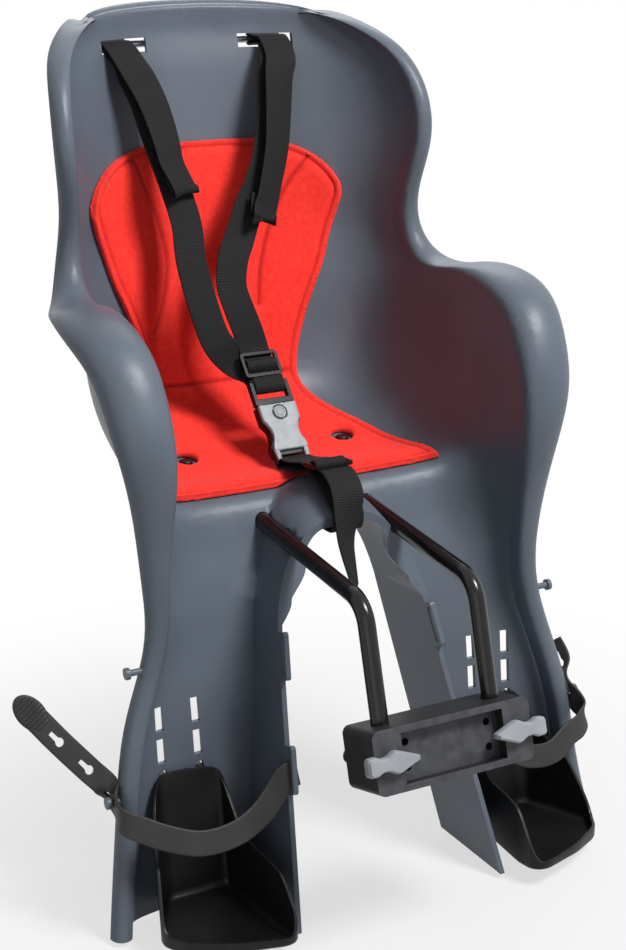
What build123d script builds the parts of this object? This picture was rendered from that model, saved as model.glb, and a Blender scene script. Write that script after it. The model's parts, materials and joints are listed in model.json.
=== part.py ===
from build123d import *
import os
from collections import namedtuple
from math import atan2, cos, degrees, hypot, radians, sin, tan

# A child bike seat: a moulded shell with two leg channels, a pressed pad, a harness, two footrests, and a
# bent steel bar that plugs into a clamp block. Millimetres. The origin is the centre of the clamp block's
# front face, +Z is up and -Y is forwards, and the seat stands as it does on an upright bicycle.

# Shell
shell_wall = 4.0
recline = 9.6
crease_y = 369.0
crease_z = 178.0
pan_z = 130.0
pan_front_y = 217.0
leg_lean = 8.8
leg_back_y = 171.0
leg_bottom_z = -159.0
leg_corner = 19.0
head_half_width = 147.0
neck_half_width = 142.0
arm_half_width = 148.0
waist_half_width = 152.0
foot_half_width = 199.0
head_flange = 16.0
arm_flange = 50.0
leg_flange = 16.0
wall_steps = 9
roll_steps = 6
fit_tolerance = 0.1

# Arch between the leg channels
arch_top_z = 127.0
hump_top_z = 141.0
hump_y = 203.0
arch_front_y = 156.0
arch_rear_y = 244.0
arch_foot_half_width = 92.0
arch_bar_height = 11.0
arch_crown_half_width = 36.0
arch_knee_half_width = 66.0
arch_shoulder = 45.0
wall_step_z = 47.0
wall_step_back = 14.0
wall_front_lean = 20.7
gusset_depth = 41.0
plate_inset = 1.0

# Slots, loops and knobs of the shell
strap_slot_x = 63.0
strap_slot_z = 453.0
strap_slot_width = 44.0
strap_slot_height = 11.0
leg_slot_x = 123.0
leg_slot_gap = 31.0
leg_slot_width = 7.0
leg_slot_height = 19.0
leg_slot_pitch = 25.0
leg_slot_top_z = -13.0
leg_slot_rows = 4
loop_length = 36.0
loop_depth = 9.0
loop_slit = 4.5
loop_rim = 3.2
loop_heights = (29.0, -49.0)
knob_heights = (36.0, -57.0)
cut_depth = 80.0
knob_set_back = 8.0
knob_diameter = 5.0
knob_length = 6.0
knob_head_diameter = 9.0
knob_head_height = 3.0

# Bar and clamp block
bar_diameter = 13.0
bar_spacing = 92.0
bar_lean = 16.0
bar_bend_height = 109.0
bar_bend_radius = 24.0
bar_run_rise = 5.0
bar_rear_y = 340.0
bar_rear_radius = 34.0
bar_foot = 14.0
bar_clearance = 0.08
bar_hole_clearance = 0.3
bar_rest_gap = 0.2
bar_seat_gap = 0.3
block_width = 130.0
block_height = 46.0
block_depth = 45.0
block_corner = 6.0
bar_depth = 21.0
recess_width = 84.0
recess_height = 36.0
recess_depth = 10.0
screw_spacing_x = 68.0
screw_spacing_z = 18.0
screw_hole = 5.5

# Locking levers
lever_x = 59.0
lever_shaft = 7.0
lever_tip = 27.0
lever_butt = 15.0
lever_height = 15.0
lever_thickness = 8.0
lever_gap = 0.3
ring_diameter = 12.0
ring_thickness = 1.5
ring_grip = 0.02
shaft_clearance = 0.08
shaft_end = 1.5
lever_chamfer = 1.5

# Pad and bar saddle
pad_thickness = 7.0
pad_gap = 0.5
pad_notch_gap = 1.0
pad_hole = 19.0
pad_hole_x = 71.0
pad_hole_y = 288.0
saddle_length = 176.0
saddle_width = 26.0
saddle_thickness = 4.0
saddle_screw = 6.0
screw_clearance = 0.3
screw_seat_rise = 9.0
pillar_diameter = 17.0
pillar_height = 60.0
rest_width = 9.0
screw_head = 11.0
screw_head_height = 3.0
nut_across = 10.0
nut_height = 5.0
nut_gap = 0.8
nut_thread_gap = 0.05

# Harness
web_width = 25.0
web_thickness = 1.6
strap_bar_diameter = 6.0
strap_bar_length = 56.0
crotch_bar_diameter = 6.0
crotch_bar_clearance = 0.1
crotch_bar_y = 215.0
crotch_bar_z = 118.0
lug_x = 19.0
lug_height = 18.0
buckle_tilt = 50.5
buckle_y = 261.0
buckle_z = 168.0
buckle_width = 34.0
buckle_top = 17.0
buckle_bottom = -26.5
buckle_waist = 4.0
buckle_back_depth = 5.5
buckle_split = 2.2
buckle_front_depth = 5.5
buckle_bar_end = -33.5
buckle_bar = 3.5
buckle_bar_width = 30.0
buckle_bar_depth = 2.0
tongue_bottom = 18.0
tongue_top = 38.0
tongue_half_depth = 3.0
tongue_window_width = 27.0
tongue_window = 10.0
tongue_frame = 5.0
prong_inner = 7.4
prong_outer = 12.0
prong_end = -14.0
prong_half_depth = 1.8
prong_gap = 0.3
button_y = 9.0
button_diameter = 11.0
button_top = 6.7
button_flange = 13.0
button_flange_depth = 1.5
button_travel = 2.0
button_clearance = 0.1
button_pocket_depth = 5.7
spring_wire = 0.6
spring_diameter = 7.0
spring_turns = 3
spring_end_gap = 0.05
slider_bar = 3.0
slider_window = 6.5
slider_width = 33.0
slider_half_depth = 1.5
shoulder_slider_y = 54.0
crotch_slider_y = 184.0
crotch_slider_z = 157.5
crotch_slider_tilt = 5.7

# Footrests and foot straps
foot_wall = 3.0
foot_plan = ((108, 157), (158, 157), (192, 33), (101, 33))
foot_side = ((157, -56), (142, -152), (40, -150), (33, -134))
foot_corner = 6.0
hook_width = 5.6
hook_height = 14.0
hook_drop = 5.0
hook_rows = (2, 3)
hook_gap = 0.8
foot_strap_width = 19.0
foot_strap_thickness = 2.5
keyhole = 6.5
grip_length = 34.0
grip_width = 23.0
grip_thickness = 5.0

lean_up = (0, sin(radians(bar_lean)), cos(radians(bar_lean)))
lean_out = (0, -cos(radians(bar_lean)), sin(radians(bar_lean)))
block_plane = Plane(origin=(0, 0, 0), x_dir=(1, 0, 0), z_dir=lean_out)

os.makedirs("parts", exist_ok=True)


def back_y(z):
    """Y of the middle of the reclined back at height z."""
    return crease_y + (z - crease_z) * tan(radians(recline))


def leg_y(z):
    """Y of the leg channels' back wall at height z."""
    return leg_back_y + z * tan(radians(leg_lean))


# Each station of the shell is a U in a plane across the seat. It runs from the spine, in the middle of the
# shell, up to the rim, and then rolls outwards into a flange. half_width is inside the wall at the rim,
# flange is from there to the free edge, and squareness goes from 0, a bowl, to 1, a tray.
Station = namedtuple("Station", "spine rim half_width flange roll squareness")
stations = [
    Station((back_y(480) + 14, 481), (405, 469), head_half_width - 63, 20, 6, 0.0),
    Station((back_y(482), 483), (390, 474), head_half_width - 55, 20, 6, 0.0),
    Station((back_y(468), 468), (353, 463), head_half_width - 26, 19, 7, 0.0),
    Station((back_y(448), 448), (326, 445), head_half_width - 9, 17, 8, 0.0),
    Station((back_y(408), 408), (301, 407), head_half_width, head_flange, 8, 0.0),
    Station((back_y(372), 372), (298, 372), head_half_width - 1, head_flange, 8, 0.05),
    Station((back_y(335), 335), (307, 335), neck_half_width, head_flange, 8, 0.1),
    Station((back_y(300), 300), (304, 299), neck_half_width + 1, head_flange + 4, 10, 0.2),
    Station((back_y(266), 266), (279, 282), neck_half_width + 3, arm_flange - 20, 13, 0.3),
    Station((back_y(222), 222), (242, 286), arm_half_width, arm_flange - 7, 15, 0.5),
    Station((crease_y - 1, crease_z + 6), (207, 287), arm_half_width + 1, arm_flange, 16, 0.7),
    Station((crease_y - 26, crease_z - 22), (178, 280), arm_half_width + 1, arm_flange + 1, 16, 0.85),
    Station((300, pan_z + 10), (151, 261), arm_half_width, arm_flange - 2, 15, 1.0),
    Station((255, pan_z + 1), (133, 228), arm_half_width - 1, arm_flange - 5, 14, 1.0),
    Station((pan_front_y, pan_z), (127, 194), arm_half_width - 1, arm_flange - 11, 12, 1.0),
    Station((pan_front_y - 15, pan_z - 22), (131, 153), waist_half_width - 3, leg_flange + 13, 11, 1.0),
    Station((leg_y(75) + 7, 75), (138, 110), waist_half_width - 1, leg_flange + 5, 9, 1.0),
    Station((leg_y(42) + 3, 42), (141, 66), waist_half_width, leg_flange + 2, 8, 1.0),
    Station((leg_y(8), 8), (142, 18), waist_half_width + 11, leg_flange + 2, 8, 1.0),
    Station((leg_y(-50), -50), (132, -46), foot_half_width - 18, leg_flange + 1, 8, 1.0),
    Station((leg_y(-105), -105), (125, -104), foot_half_width - 9, leg_flange, 8, 1.0),
    Station((leg_y(leg_bottom_z), leg_bottom_z), (114, leg_bottom_z), foot_half_width, leg_flange, 8, 1.0),
]


def mix(low, high, share):
    """Value a share of the way from low to high."""
    return low + (high - low) * share


def section_plane(station):
    """Plane of a station: local X across the seat, local Y from the spine to the rim."""
    rise_y = station.rim[0] - station.spine[0]
    rise_z = station.rim[1] - station.spine[1]
    return Plane(origin=(0, *station.spine), x_dir=(1, 0, 0), z_dir=(0, -rise_z, rise_y))


def section_height(station):
    """Distance from the spine to the top of the rim."""
    return hypot(station.rim[0] - station.spine[0], station.rim[1] - station.spine[1])


def slant(index):
    """How much longer a wall measures in a station's plane than square through the floor."""
    before = stations[max(index - 1, 0)].spine
    after = stations[min(index + 1, len(stations) - 1)].spine
    station = stations[index]
    along = atan2(after[1] - before[1], after[0] - before[0])
    ruling = atan2(station.rim[1] - station.spine[1], station.rim[0] - station.spine[0])
    return 1 / abs(sin(along - ruling))


def wall_curve(station):
    """Control points of the inner face from the middle of the floor to the foot of the rolled rim."""
    top = station.half_width
    rise = section_height(station) - station.roll
    square = station.squareness
    return [
        (0, 0),
        (mix(0.33, 0.42, square) * top, 0),
        (mix(0.63, 0.83, square) * top, mix(0.134, 0.0, square) * rise),
        (mix(0.866, 0.92, square) * top, mix(0.369, 0.03, square) * rise),
        (top, mix(0.669, 0.25, square) * rise),
        (top, rise),
    ]


def roll_curve(station, inset):
    """Control points of the rolled rim, from the wall over the top to the flange's free edge."""
    height = section_height(station)
    crest = height + station.roll / 3 - inset * 4 / 3
    inner = station.half_width + inset
    outer = station.half_width + station.flange - inset
    edge = height - station.roll * 1.3
    return [(inner, height - station.roll), (inner, crest), (outer, crest), (outer, edge)]


def offset_curve(points, distance, stretch):
    """Control points moved square to their polygon, with the floor's share stretched by the slant."""
    moved = []
    for i, (x, y) in enumerate(points):
        before = points[max(i - 1, 0)]
        after = points[min(i + 1, len(points) - 1)]
        run = hypot(after[0] - before[0], after[1] - before[1])
        normal_x = (after[1] - before[1]) / run
        normal_y = -(after[0] - before[0]) / run
        moved.append((x + normal_x * distance, y + normal_y * distance * stretch))
    return moved


def mirrored(points):
    """The same control points on the other side of the seat."""
    return [(-x, y) for x, y in points]


def arch_outline(top_z, inset):
    """Outline of the tunnel between the leg channels, as seen from the front: a crown over straight walls."""
    splay = (arch_foot_half_width - arch_knee_half_width) / (wall_step_z - leg_bottom_z)
    knee = (arch_knee_half_width - inset, wall_step_z)
    crown = [
        (0, top_z - inset),
        (arch_crown_half_width - inset, top_z - inset),
        (knee[0] - splay * arch_shoulder, wall_step_z + arch_shoulder),
        knee,
    ]
    foot = (arch_foot_half_width - inset, leg_bottom_z)
    with BuildLine() as outline:
        for turn in (list, mirrored):
            Bezier(*turn(crown))
            Line(*turn([knee, foot]))
        Line(foot, (-foot[0], foot[1]))
    return outline.edges()


def arch_solid(inset):
    """Solid under the arch outline, which rises to the hump and dips below the pan behind it."""
    profile = [(arch_front_y - 110, arch_top_z - 36), (arch_front_y, arch_top_z), (hump_y, hump_top_z)]
    profile.append((arch_rear_y, pan_z - 8))
    with BuildPart() as arch:
        for y, top_z in profile:
            with BuildSketch(Plane.XZ.offset(-y)):
                make_face(arch_outline(top_z, inset))
        loft()
    return arch.part


def curve_point(points, share):
    """Point of a Bezier curve at a share of its length, by repeated mixing of its control points."""
    level = [Vector(*point) for point in points]
    while len(level) > 1:
        level = [a * (1 - share) + b * share for a, b in zip(level, level[1:])]
    return level[0]


def section_row(index, inset):
    """Points of one station across the seat, on the inner face or, with the wall as inset, the outer."""
    station = stations[index]
    wall = wall_curve(station)
    roll = roll_curve(station, inset)
    if inset:
        wall = offset_curve(wall, inset, slant(index))
        wall[-1] = roll[0]
    half = [curve_point(wall, i / wall_steps) for i in range(wall_steps + 1)]
    half += [curve_point(roll, i / roll_steps) for i in range(1, roll_steps + 1)]
    row = [Vector(-point.X, point.Y, 0) for point in reversed(half[1:])] + half
    return [section_plane(station).from_local_coords(point) for point in row]


def section_surface(inset):
    """Smooth face through all stations of the shell."""
    rows = [section_row(index, inset) for index in range(len(stations))]
    return Face.make_surface_from_array_of_points(rows, tol=fit_tolerance, smoothing=(1, 1, 1), max_deg=5)


def solid_between(first, second):
    """Solid closed between two faces by ruled strips along their edges."""
    strips = []
    for edge in first.edges():
        partner = second.edges().sort_by(lambda other: (other @ 0.5 - edge @ 0.5).length)[0]
        strips.append(Face.make_surface_from_curves(edge, partner))
    return Solid(Shell([first, second, *strips]))


def rim_at(z):
    """Half-width of the flange's free edge and Y of the rim on the leg channels at height z."""
    for upper, lower in zip(stations, stations[1:]):
        if lower.rim[1] <= z <= upper.rim[1]:
            share = (upper.rim[1] - z) / (upper.rim[1] - lower.rim[1])
            width = mix(upper.half_width + upper.flange, lower.half_width + lower.flange, share)
            return width, mix(upper.rim[0], lower.rim[0], share)


def bar_z(y):
    """Height of the bar's axis on its run under the pan."""
    return bar_bend.Z + (y - bar_bend.Y) * tan(radians(bar_run_rise))


def ribbon(points, across, width, thickness):
    """Flat band through the points: a ruled loft of rectangles square to the path."""
    runs = [(Vector(*b) - Vector(*a)).normalized() for a, b in zip(points, points[1:])]
    with BuildPart() as band:
        for i, point in enumerate(points):
            before = runs[max(i - 1, 0)]
            after = runs[min(i, len(runs) - 1)]
            along = (before + after).normalized()
            side = Vector(*across) - along * Vector(*across).dot(along)
            with BuildSketch(Plane(origin=point, x_dir=side.normalized(), z_dir=along)):
                Rectangle(width, thickness)
        loft(ruled=True)
    return band.part


def front_edge(z):
    """Y of the inner leg walls' front edge at height z."""
    return arch_front_y - wall_step_back + (z - wall_step_z) * tan(radians(wall_front_lean))


def arch_x(z):
    """Half-width of the tunnel's outline on the straight stretch of the inner leg walls."""
    return mix(arch_knee_half_width, arch_foot_half_width, (wall_step_z - z) / (wall_step_z - leg_bottom_z))


# Bar: up out of the block, rearwards under the pan, across and back again.
bar_foot_point = block_plane.from_local_coords((bar_spacing / 2, bar_rest_gap - bar_foot, -bar_depth))
bar_bend = block_plane.from_local_coords((bar_spacing / 2, bar_bend_height, -bar_depth))
bar_half = [bar_foot_point, bar_bend, Vector(bar_spacing / 2, bar_rear_y, bar_z(bar_rear_y))]
bar_route = bar_half + [Vector(-point.X, point.Y, point.Z) for point in reversed(bar_half)]
bar_radii = [bar_bend_radius, bar_rear_radius, bar_rear_radius, bar_bend_radius]


def bar_solid(diameter):
    """Round bar of a given diameter along the route."""
    with BuildPart() as bar:
        with BuildLine() as route:
            FilletPolyline(*bar_route, radius=bar_radii)
        with BuildSketch(Plane(origin=route.line @ 0, z_dir=route.line % 0)):
            Circle(diameter / 2)
        sweep(path=route.line)
    return bar.part


# Tunnel walls between the leg channels, and the plate around the arch that the bar passes through.
wall_side = [
    (arch_front_y, hump_top_z + 20),
    (arch_front_y, arch_top_z - 30),
    (front_edge(wall_step_z), wall_step_z),
    (front_edge(leg_bottom_z), leg_bottom_z),
    (leg_y(leg_bottom_z) + shell_wall, leg_bottom_z),
    (leg_y(wall_step_z) + gusset_depth, wall_step_z),
    (arch_rear_y, arch_top_z - 20),
    (arch_rear_y, hump_top_z + 20),
]
plate_side = [
    (arch_front_y, hump_top_z),
    (arch_front_y, arch_top_z - 30),
    (front_edge(wall_step_z), wall_step_z),
    (front_edge(wall_step_z) + shell_wall, wall_step_z),
    (arch_front_y + shell_wall, arch_top_z - 30),
    (arch_front_y + shell_wall, hump_top_z),
]
opening_half = [
    (0, arch_top_z - arch_bar_height),
    (24, arch_top_z - arch_bar_height - 1),
    (34, arch_top_z - arch_bar_height - 13),
    (36, arch_top_z - arch_bar_height - 28),
    (50, arch_top_z - arch_bar_height - 46),
    (arch_knee_half_width, wall_step_z),
]
outer_arch = arch_solid(0)
inner_arch = arch_solid(shell_wall)

with BuildPart() as tunnel:
    add(outer_arch)
    add(inner_arch, mode=Mode.SUBTRACT)
    with BuildSketch(Plane.YZ) as side_view:
        with BuildLine():
            Polyline(*wall_side, close=True)
        make_face()
    extrude(amount=foot_half_width, both=True, mode=Mode.INTERSECT)

with BuildPart() as arch_plate:
    with BuildSketch(Plane.XZ.offset(-arch_front_y - 20)):
        make_face(arch_outline(arch_top_z, plate_inset))
        with BuildLine():
            right = Spline(*opening_half, tangents=[(1, 0), (1, -1)])
            left = Spline(*mirrored(opening_half), tangents=[(-1, 0), (-1, -1)])
            bottom = leg_bottom_z - 10
            Polyline(right @ 1, (foot_half_width, bottom), (-foot_half_width, bottom), left @ 1)
        make_face(mode=Mode.SUBTRACT)
    extrude(amount=60)
    with BuildSketch(Plane.YZ):
        with BuildLine():
            Polyline(*plate_side, close=True)
        make_face()
    extrude(amount=foot_half_width, both=True, mode=Mode.INTERSECT)

saddle_plane = Plane(
    origin=(0, pad_hole_y, bar_z(pad_hole_y) - bar_diameter / 2 - bar_seat_gap),
    x_dir=(1, 0, 0),
    z_dir=(0, -sin(radians(bar_run_rise)), cos(radians(bar_run_rise))),
)
screw_seat_z = pan_z + screw_seat_rise

# Loops on the front edges of the inner leg walls and knobs on the flanges, both for the foot straps, screw
# pillars and bar rests under the pan, and two lugs under the hump for the crotch strap's bar.
with BuildPart() as fittings:
    for side in (-1, 1):
        for z in loop_heights:
            edge_run = Vector(side * (arch_x(z - 1) - arch_x(z)), front_edge(z - 1) - front_edge(z), -1)
            loop_root = (side * (arch_x(z) - shell_wall / 2), front_edge(z) + shell_wall, z)
            loop_normal = edge_run.cross(Vector(0, -1, 0))
            with BuildSketch(Plane(origin=loop_root, x_dir=edge_run, z_dir=loop_normal)):
                reach = loop_depth + shell_wall
                with Locations((0, reach / 2)):
                    RectangleRounded(loop_length, reach, loop_depth / 3)
                with Locations((0, reach - loop_rim - loop_slit / 2)):
                    Rectangle(loop_length - 2 * shell_wall, loop_slit, mode=Mode.SUBTRACT)
            extrude(amount=shell_wall / 2, both=True)
        for z in knob_heights:
            edge_x, rim_y = rim_at(z)
            root = edge_x - shell_wall
            with BuildSketch(Plane(origin=(side * root, rim_y + knob_set_back, z), z_dir=(side, 0, 0))):
                Circle(knob_diameter / 2)
            extrude(amount=shell_wall + knob_length)
            tip = edge_x + knob_length
            with BuildSketch(Plane(origin=(side * tip, rim_y + knob_set_back, z), z_dir=(side, 0, 0))):
                Circle(knob_head_diameter / 2)
            extrude(amount=knob_head_height)
        with Locations((side * pad_hole_x, pad_hole_y, screw_seat_z)):
            Cylinder(pillar_diameter / 2, pillar_height, align=(Align.CENTER, Align.CENTER, Align.MAX))
        with Locations((side * bar_spacing / 2, pad_hole_y, pan_z + shell_wall / 2)):
            rest_height = pan_z + shell_wall / 2 - bar_z(pad_hole_y)
            Box(rest_width, saddle_width, rest_height, align=(Align.CENTER, Align.CENTER, Align.MAX))
        with Locations((side * lug_x, crotch_bar_y, crotch_bar_z - lug_height / 4)):
            Box(shell_wall, lug_height, lug_height, align=(Align.CENTER, Align.CENTER, Align.MIN))
    with BuildSketch(saddle_plane):
        Rectangle(saddle_length + saddle_width, 2 * saddle_width)
    extrude(amount=-pillar_height, mode=Mode.SUBTRACT)

with BuildPart() as cutters:
    # Slots for the shoulder straps and for the footrests' hooks.
    with Locations(*[(side * strap_slot_x, back_y(strap_slot_z), strap_slot_z) for side in (-1, 1)]):
        Box(strap_slot_width, cut_depth, strap_slot_height)
    for side in (-1, 1):
        for row in range(leg_slot_rows):
            z = leg_slot_top_z - row * leg_slot_pitch
            for column in (0, 1):
                with Locations((side * (leg_slot_x + column * leg_slot_gap), leg_y(z), z)):
                    Box(leg_slot_width, cut_depth / 2, leg_slot_height)
    # Holes for the saddle screws and the crotch strap's bar.
    with Locations(*[(side * pad_hole_x, pad_hole_y, pan_z) for side in (-1, 1)]):
        Cylinder(saddle_screw / 2 + screw_clearance, cut_depth)
    with Locations(*[(side * pad_hole_x, pad_hole_y, screw_seat_z) for side in (-1, 1)]):
        Cylinder(pad_hole / 2, cut_depth / 2, align=(Align.CENTER, Align.CENTER, Align.MIN))
    with Locations(Pos(0, crotch_bar_y, crotch_bar_z) * Rot(0, 90, 0)):
        Cylinder(crotch_bar_diameter / 2 + crotch_bar_clearance, 2 * lug_x + 2 * shell_wall)
    # Rounded outer corners at the lower ends of the legs.
    with BuildSketch(Plane.XZ.offset(-rim_at(leg_bottom_z)[1] + cut_depth / 2)):
        for side in (-1, 1):
            corner_x = side * (rim_at(leg_bottom_z)[0] - leg_corner)
            with Locations((corner_x + side * leg_corner, leg_bottom_z)):
                Rectangle(2 * leg_corner, 2 * leg_corner)
            with Locations((corner_x, leg_bottom_z + leg_corner)):
                Circle(leg_corner, mode=Mode.SUBTRACT)
    extrude(amount=-cut_depth)
    add(bar_solid(bar_diameter + 2 * bar_hole_clearance))

inner_face = section_surface(0)

with BuildPart() as seat_shell:
    add(solid_between(inner_face, section_surface(shell_wall)))
    add(outer_arch, mode=Mode.SUBTRACT)
    add([tunnel.part, arch_plate.part, fittings.part])
    add(cutters.part, mode=Mode.SUBTRACT)
seat_shell.part.label = "seat_shell"
export_step(seat_shell.part, "parts/seat_shell.step")

with BuildPart() as support_bow:
    add(bar_solid(bar_diameter))
support_bow.part.label = "support_bow"
export_step(support_bow.part, "parts/support_bow.step")

# Pad: a pressed sheet that lies on the shell's inner face, narrow at the crease, with a notch for the hump.
# Each pair is where a row of it crosses the spine, as Y plus Z, and its half-width there.
pad_rows = [
    (778, 54),
    (774, 70),
    (763, 92),
    (750, 105),
    (731, 114),
    (712, 112),
    (690, 106),
    (670, 101),
    (650, 96),
    (624, 87),
    (598, 78),
    (570, 71),
    (545, 67),
    (522, 69),
    (499, 75),
    (470, 86),
    (440, 98),
    (412, 107),
    (386, 114),
    (366, 118),
    (350, 120),
]


def halved(reached):
    """Share between 0 and 1 at which a condition starts to hold, by halving."""
    low = 0.0
    high = 1.0
    for _ in range(30):
        middle = (low + high) / 2
        if reached(middle):
            high = middle
        else:
            low = middle
    return low


def pad_surface(height):
    """Smooth face at a height over the shell's inner face, as wide as the pad."""
    rows = []
    for spine_sum, half_width in pad_rows:
        along = halved(lambda share: inner_face.position_at(share, 0.5).dot(Vector(0, 1, 1)) < spine_sum)
        reach = halved(lambda share: inner_face.position_at(along, share).X > half_width)
        row = []
        for i in range(-wall_steps, wall_steps + 1):
            across = 0.5 + (reach - 0.5) * i / wall_steps
            normal = inner_face.normal_at(along, across)
            row.append(inner_face.position_at(along, across) + normal * height)
        rows.append(row)
    return Face.make_surface_from_array_of_points(rows, tol=fit_tolerance, max_deg=3)


with BuildPart() as seat_pad:
    add(solid_between(pad_surface(pad_gap), pad_surface(pad_gap + pad_thickness)))
    add(arch_solid(-pad_notch_gap), mode=Mode.SUBTRACT)
    with Locations(*[(side * pad_hole_x, pad_hole_y, pan_z) for side in (-1, 1)]):
        Cylinder(pad_hole / 2, cut_depth, mode=Mode.SUBTRACT)
seat_pad.part.label = "seat_pad"
export_step(seat_pad.part, "parts/seat_pad.step")

# Saddle plate under the bar, with its screws and nuts.
with BuildPart() as bow_saddle:
    with BuildSketch(saddle_plane):
        SlotOverall(saddle_length, saddle_width)
    extrude(amount=-saddle_thickness)
    with Locations(*[(side * pad_hole_x, pad_hole_y, pan_z) for side in (-1, 1)]):
        Cylinder(saddle_screw / 2 + screw_clearance, 200, mode=Mode.SUBTRACT)
bow_saddle.part.label = "bow_saddle"
export_step(bow_saddle.part, "parts/bow_saddle.step")

nut_top_z = bow_saddle.part.bounding_box().min.Z + saddle_width / 2 * tan(radians(bar_run_rise)) - nut_gap
screw_foot_z = nut_top_z - nut_height - saddle_screw / 3

with BuildPart() as saddle_screws:
    with BuildSketch(Plane.XY.offset(screw_seat_z)):
        with Locations((-pad_hole_x, pad_hole_y), (pad_hole_x, pad_hole_y)):
            Circle(screw_head / 2)
    extrude(amount=screw_head_height)
    fillet(saddle_screws.edges().group_by(Axis.Z)[-1], screw_head_height / 2)
    with BuildSketch(Plane.XY.offset(screw_seat_z)):
        with Locations((-pad_hole_x, pad_hole_y), (pad_hole_x, pad_hole_y)):
            Circle(saddle_screw / 2)
    extrude(amount=screw_foot_z - screw_seat_z)
saddle_screws.part.label = "saddle_screws"
export_step(saddle_screws.part, "parts/saddle_screws.step")

with BuildPart() as saddle_nuts:
    with BuildSketch(Plane.XY.offset(nut_top_z)):
        with Locations((-pad_hole_x, pad_hole_y), (pad_hole_x, pad_hole_y)):
            RegularPolygon(nut_across / 2, 6, major_radius=False)
            Circle(saddle_screw / 2 + nut_thread_gap, mode=Mode.SUBTRACT)
    extrude(amount=-nut_height)
saddle_nuts.part.label = "saddle_nuts"
export_step(saddle_nuts.part, "parts/saddle_nuts.step")

# Clamp block: a recess with four screw holes in front, and two blind bores for the bar from above.
bore_plane = Plane(
    origin=block_plane.from_local_coords((0, -bar_foot, -bar_depth)), x_dir=(1, 0, 0), z_dir=lean_up
)

with BuildPart() as clamp_block:
    with BuildSketch(block_plane):
        RectangleRounded(block_width, block_height, block_corner)
    extrude(amount=-block_depth)
    fillet(clamp_block.faces().sort_by(Axis.Y)[-1].edges(), block_corner / 2)
    with BuildSketch(block_plane):
        Rectangle(recess_width, recess_height)
    extrude(amount=-recess_depth, mode=Mode.SUBTRACT)
    with BuildSketch(block_plane):
        with GridLocations(screw_spacing_x, screw_spacing_z, 2, 2):
            Circle(screw_hole / 2)
    extrude(amount=-block_depth, mode=Mode.SUBTRACT)
    with BuildSketch(bore_plane):
        with Locations((-bar_spacing / 2, 0), (bar_spacing / 2, 0)):
            Circle(bar_diameter / 2 + bar_clearance)
    extrude(amount=block_height, mode=Mode.SUBTRACT)
    with BuildSketch(block_plane):
        with Locations((-lever_x, 0), (lever_x, 0)):
            Circle(lever_shaft / 2 + shaft_clearance)
    extrude(amount=-block_depth, mode=Mode.SUBTRACT)
clamp_block.part.label = "clamp_block"
export_step(clamp_block.part, "parts/clamp_block.step")

# Levers: an arrow on the block's face, on a shaft that a push-on ring holds behind the block.
ring_front = -block_depth - lever_gap
lever_outline = [
    (-lever_tip, 0),
    (-lever_tip * 0.3, lever_height / 2),
    (-lever_tip * 0.12, lever_height * 0.28),
    (lever_butt * 0.25, lever_height * 0.25),
    (lever_butt * 0.6, lever_height * 0.45),
    (lever_butt, lever_height * 0.36),
]

for side, name in ((-1, "left"), (1, "right")):
    with BuildPart() as lever:
        with BuildSketch(block_plane.offset(lever_gap)):
            with BuildLine():
                arrow = [(side * (lever_x + x), y) for x, y in lever_outline]
                Polyline(*arrow, *[(x, -y) for x, y in reversed(arrow[1:])], close=True)
            make_face()
        extrude(amount=lever_thickness)
        chamfer(lever.faces().sort_by(Axis.Y)[0].edges(), lever_chamfer)
        with BuildSketch(block_plane.offset(lever_gap)):
            with Locations((side * lever_x, 0)):
                Circle(lever_shaft / 2)
        extrude(amount=ring_front - ring_thickness - lever_gap - shaft_end)
    lever.part.label = f"lever_{name}"
    export_step(lever.part, f"parts/lever_{name}.step")

    with BuildPart() as ring:
        with BuildSketch(block_plane.offset(ring_front)):
            with Locations((side * lever_x, 0)):
                Circle(ring_diameter / 2)
                Circle(lever_shaft / 2 + ring_grip, mode=Mode.SUBTRACT)
        extrude(amount=-ring_thickness)
    ring.part.label = f"lever_ring_{name}"
    export_step(ring.part, f"parts/lever_ring_{name}.step")

# Bars that stop the straps behind the shell and under the hump.
strap_bar_y = back_y(strap_slot_z) + 2 * shell_wall

for side, name in ((-1, "left"), (1, "right")):
    with BuildPart() as strap_bar:
        with Locations(Pos(side * strap_slot_x, strap_bar_y, strap_slot_z) * Rot(0, 90, 0)):
            Cylinder(strap_bar_diameter / 2, strap_bar_length)
    strap_bar.part.label = f"strap_bar_{name}"
    export_step(strap_bar.part, f"parts/strap_bar_{name}.step")

with BuildPart() as crotch_bar:
    with Locations(Pos(0, crotch_bar_y, crotch_bar_z) * Rot(0, 90, 0)):
        Cylinder(crotch_bar_diameter / 2, 2 * lug_x + shell_wall)
crotch_bar.part.label = "crotch_bar"
export_step(crotch_bar.part, "parts/crotch_bar.step")

# Buckle, in its own plane: local Y runs up the straps and local Z faces the front.
buckle_plane = Plane(
    origin=(0, buckle_y, buckle_z),
    x_dir=(1, 0, 0),
    z_dir=(0, -sin(radians(buckle_tilt)), cos(radians(buckle_tilt))),
)
buckle_side = [
    (buckle_width / 2, buckle_top),
    (buckle_width / 2, 2),
    (buckle_width / 2 - buckle_waist, -4),
    (buckle_width / 2 - buckle_waist, -12),
    (buckle_width / 2 - 1, -19),
    (buckle_width / 2 - 2, buckle_bottom),
]


def buckle_face():
    """Outline of the buckle's body, waisted where fingers hold it."""
    with BuildLine() as outline:
        Polyline(*buckle_side, *mirrored(reversed(buckle_side)), close=True)
    return outline.edges()


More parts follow.
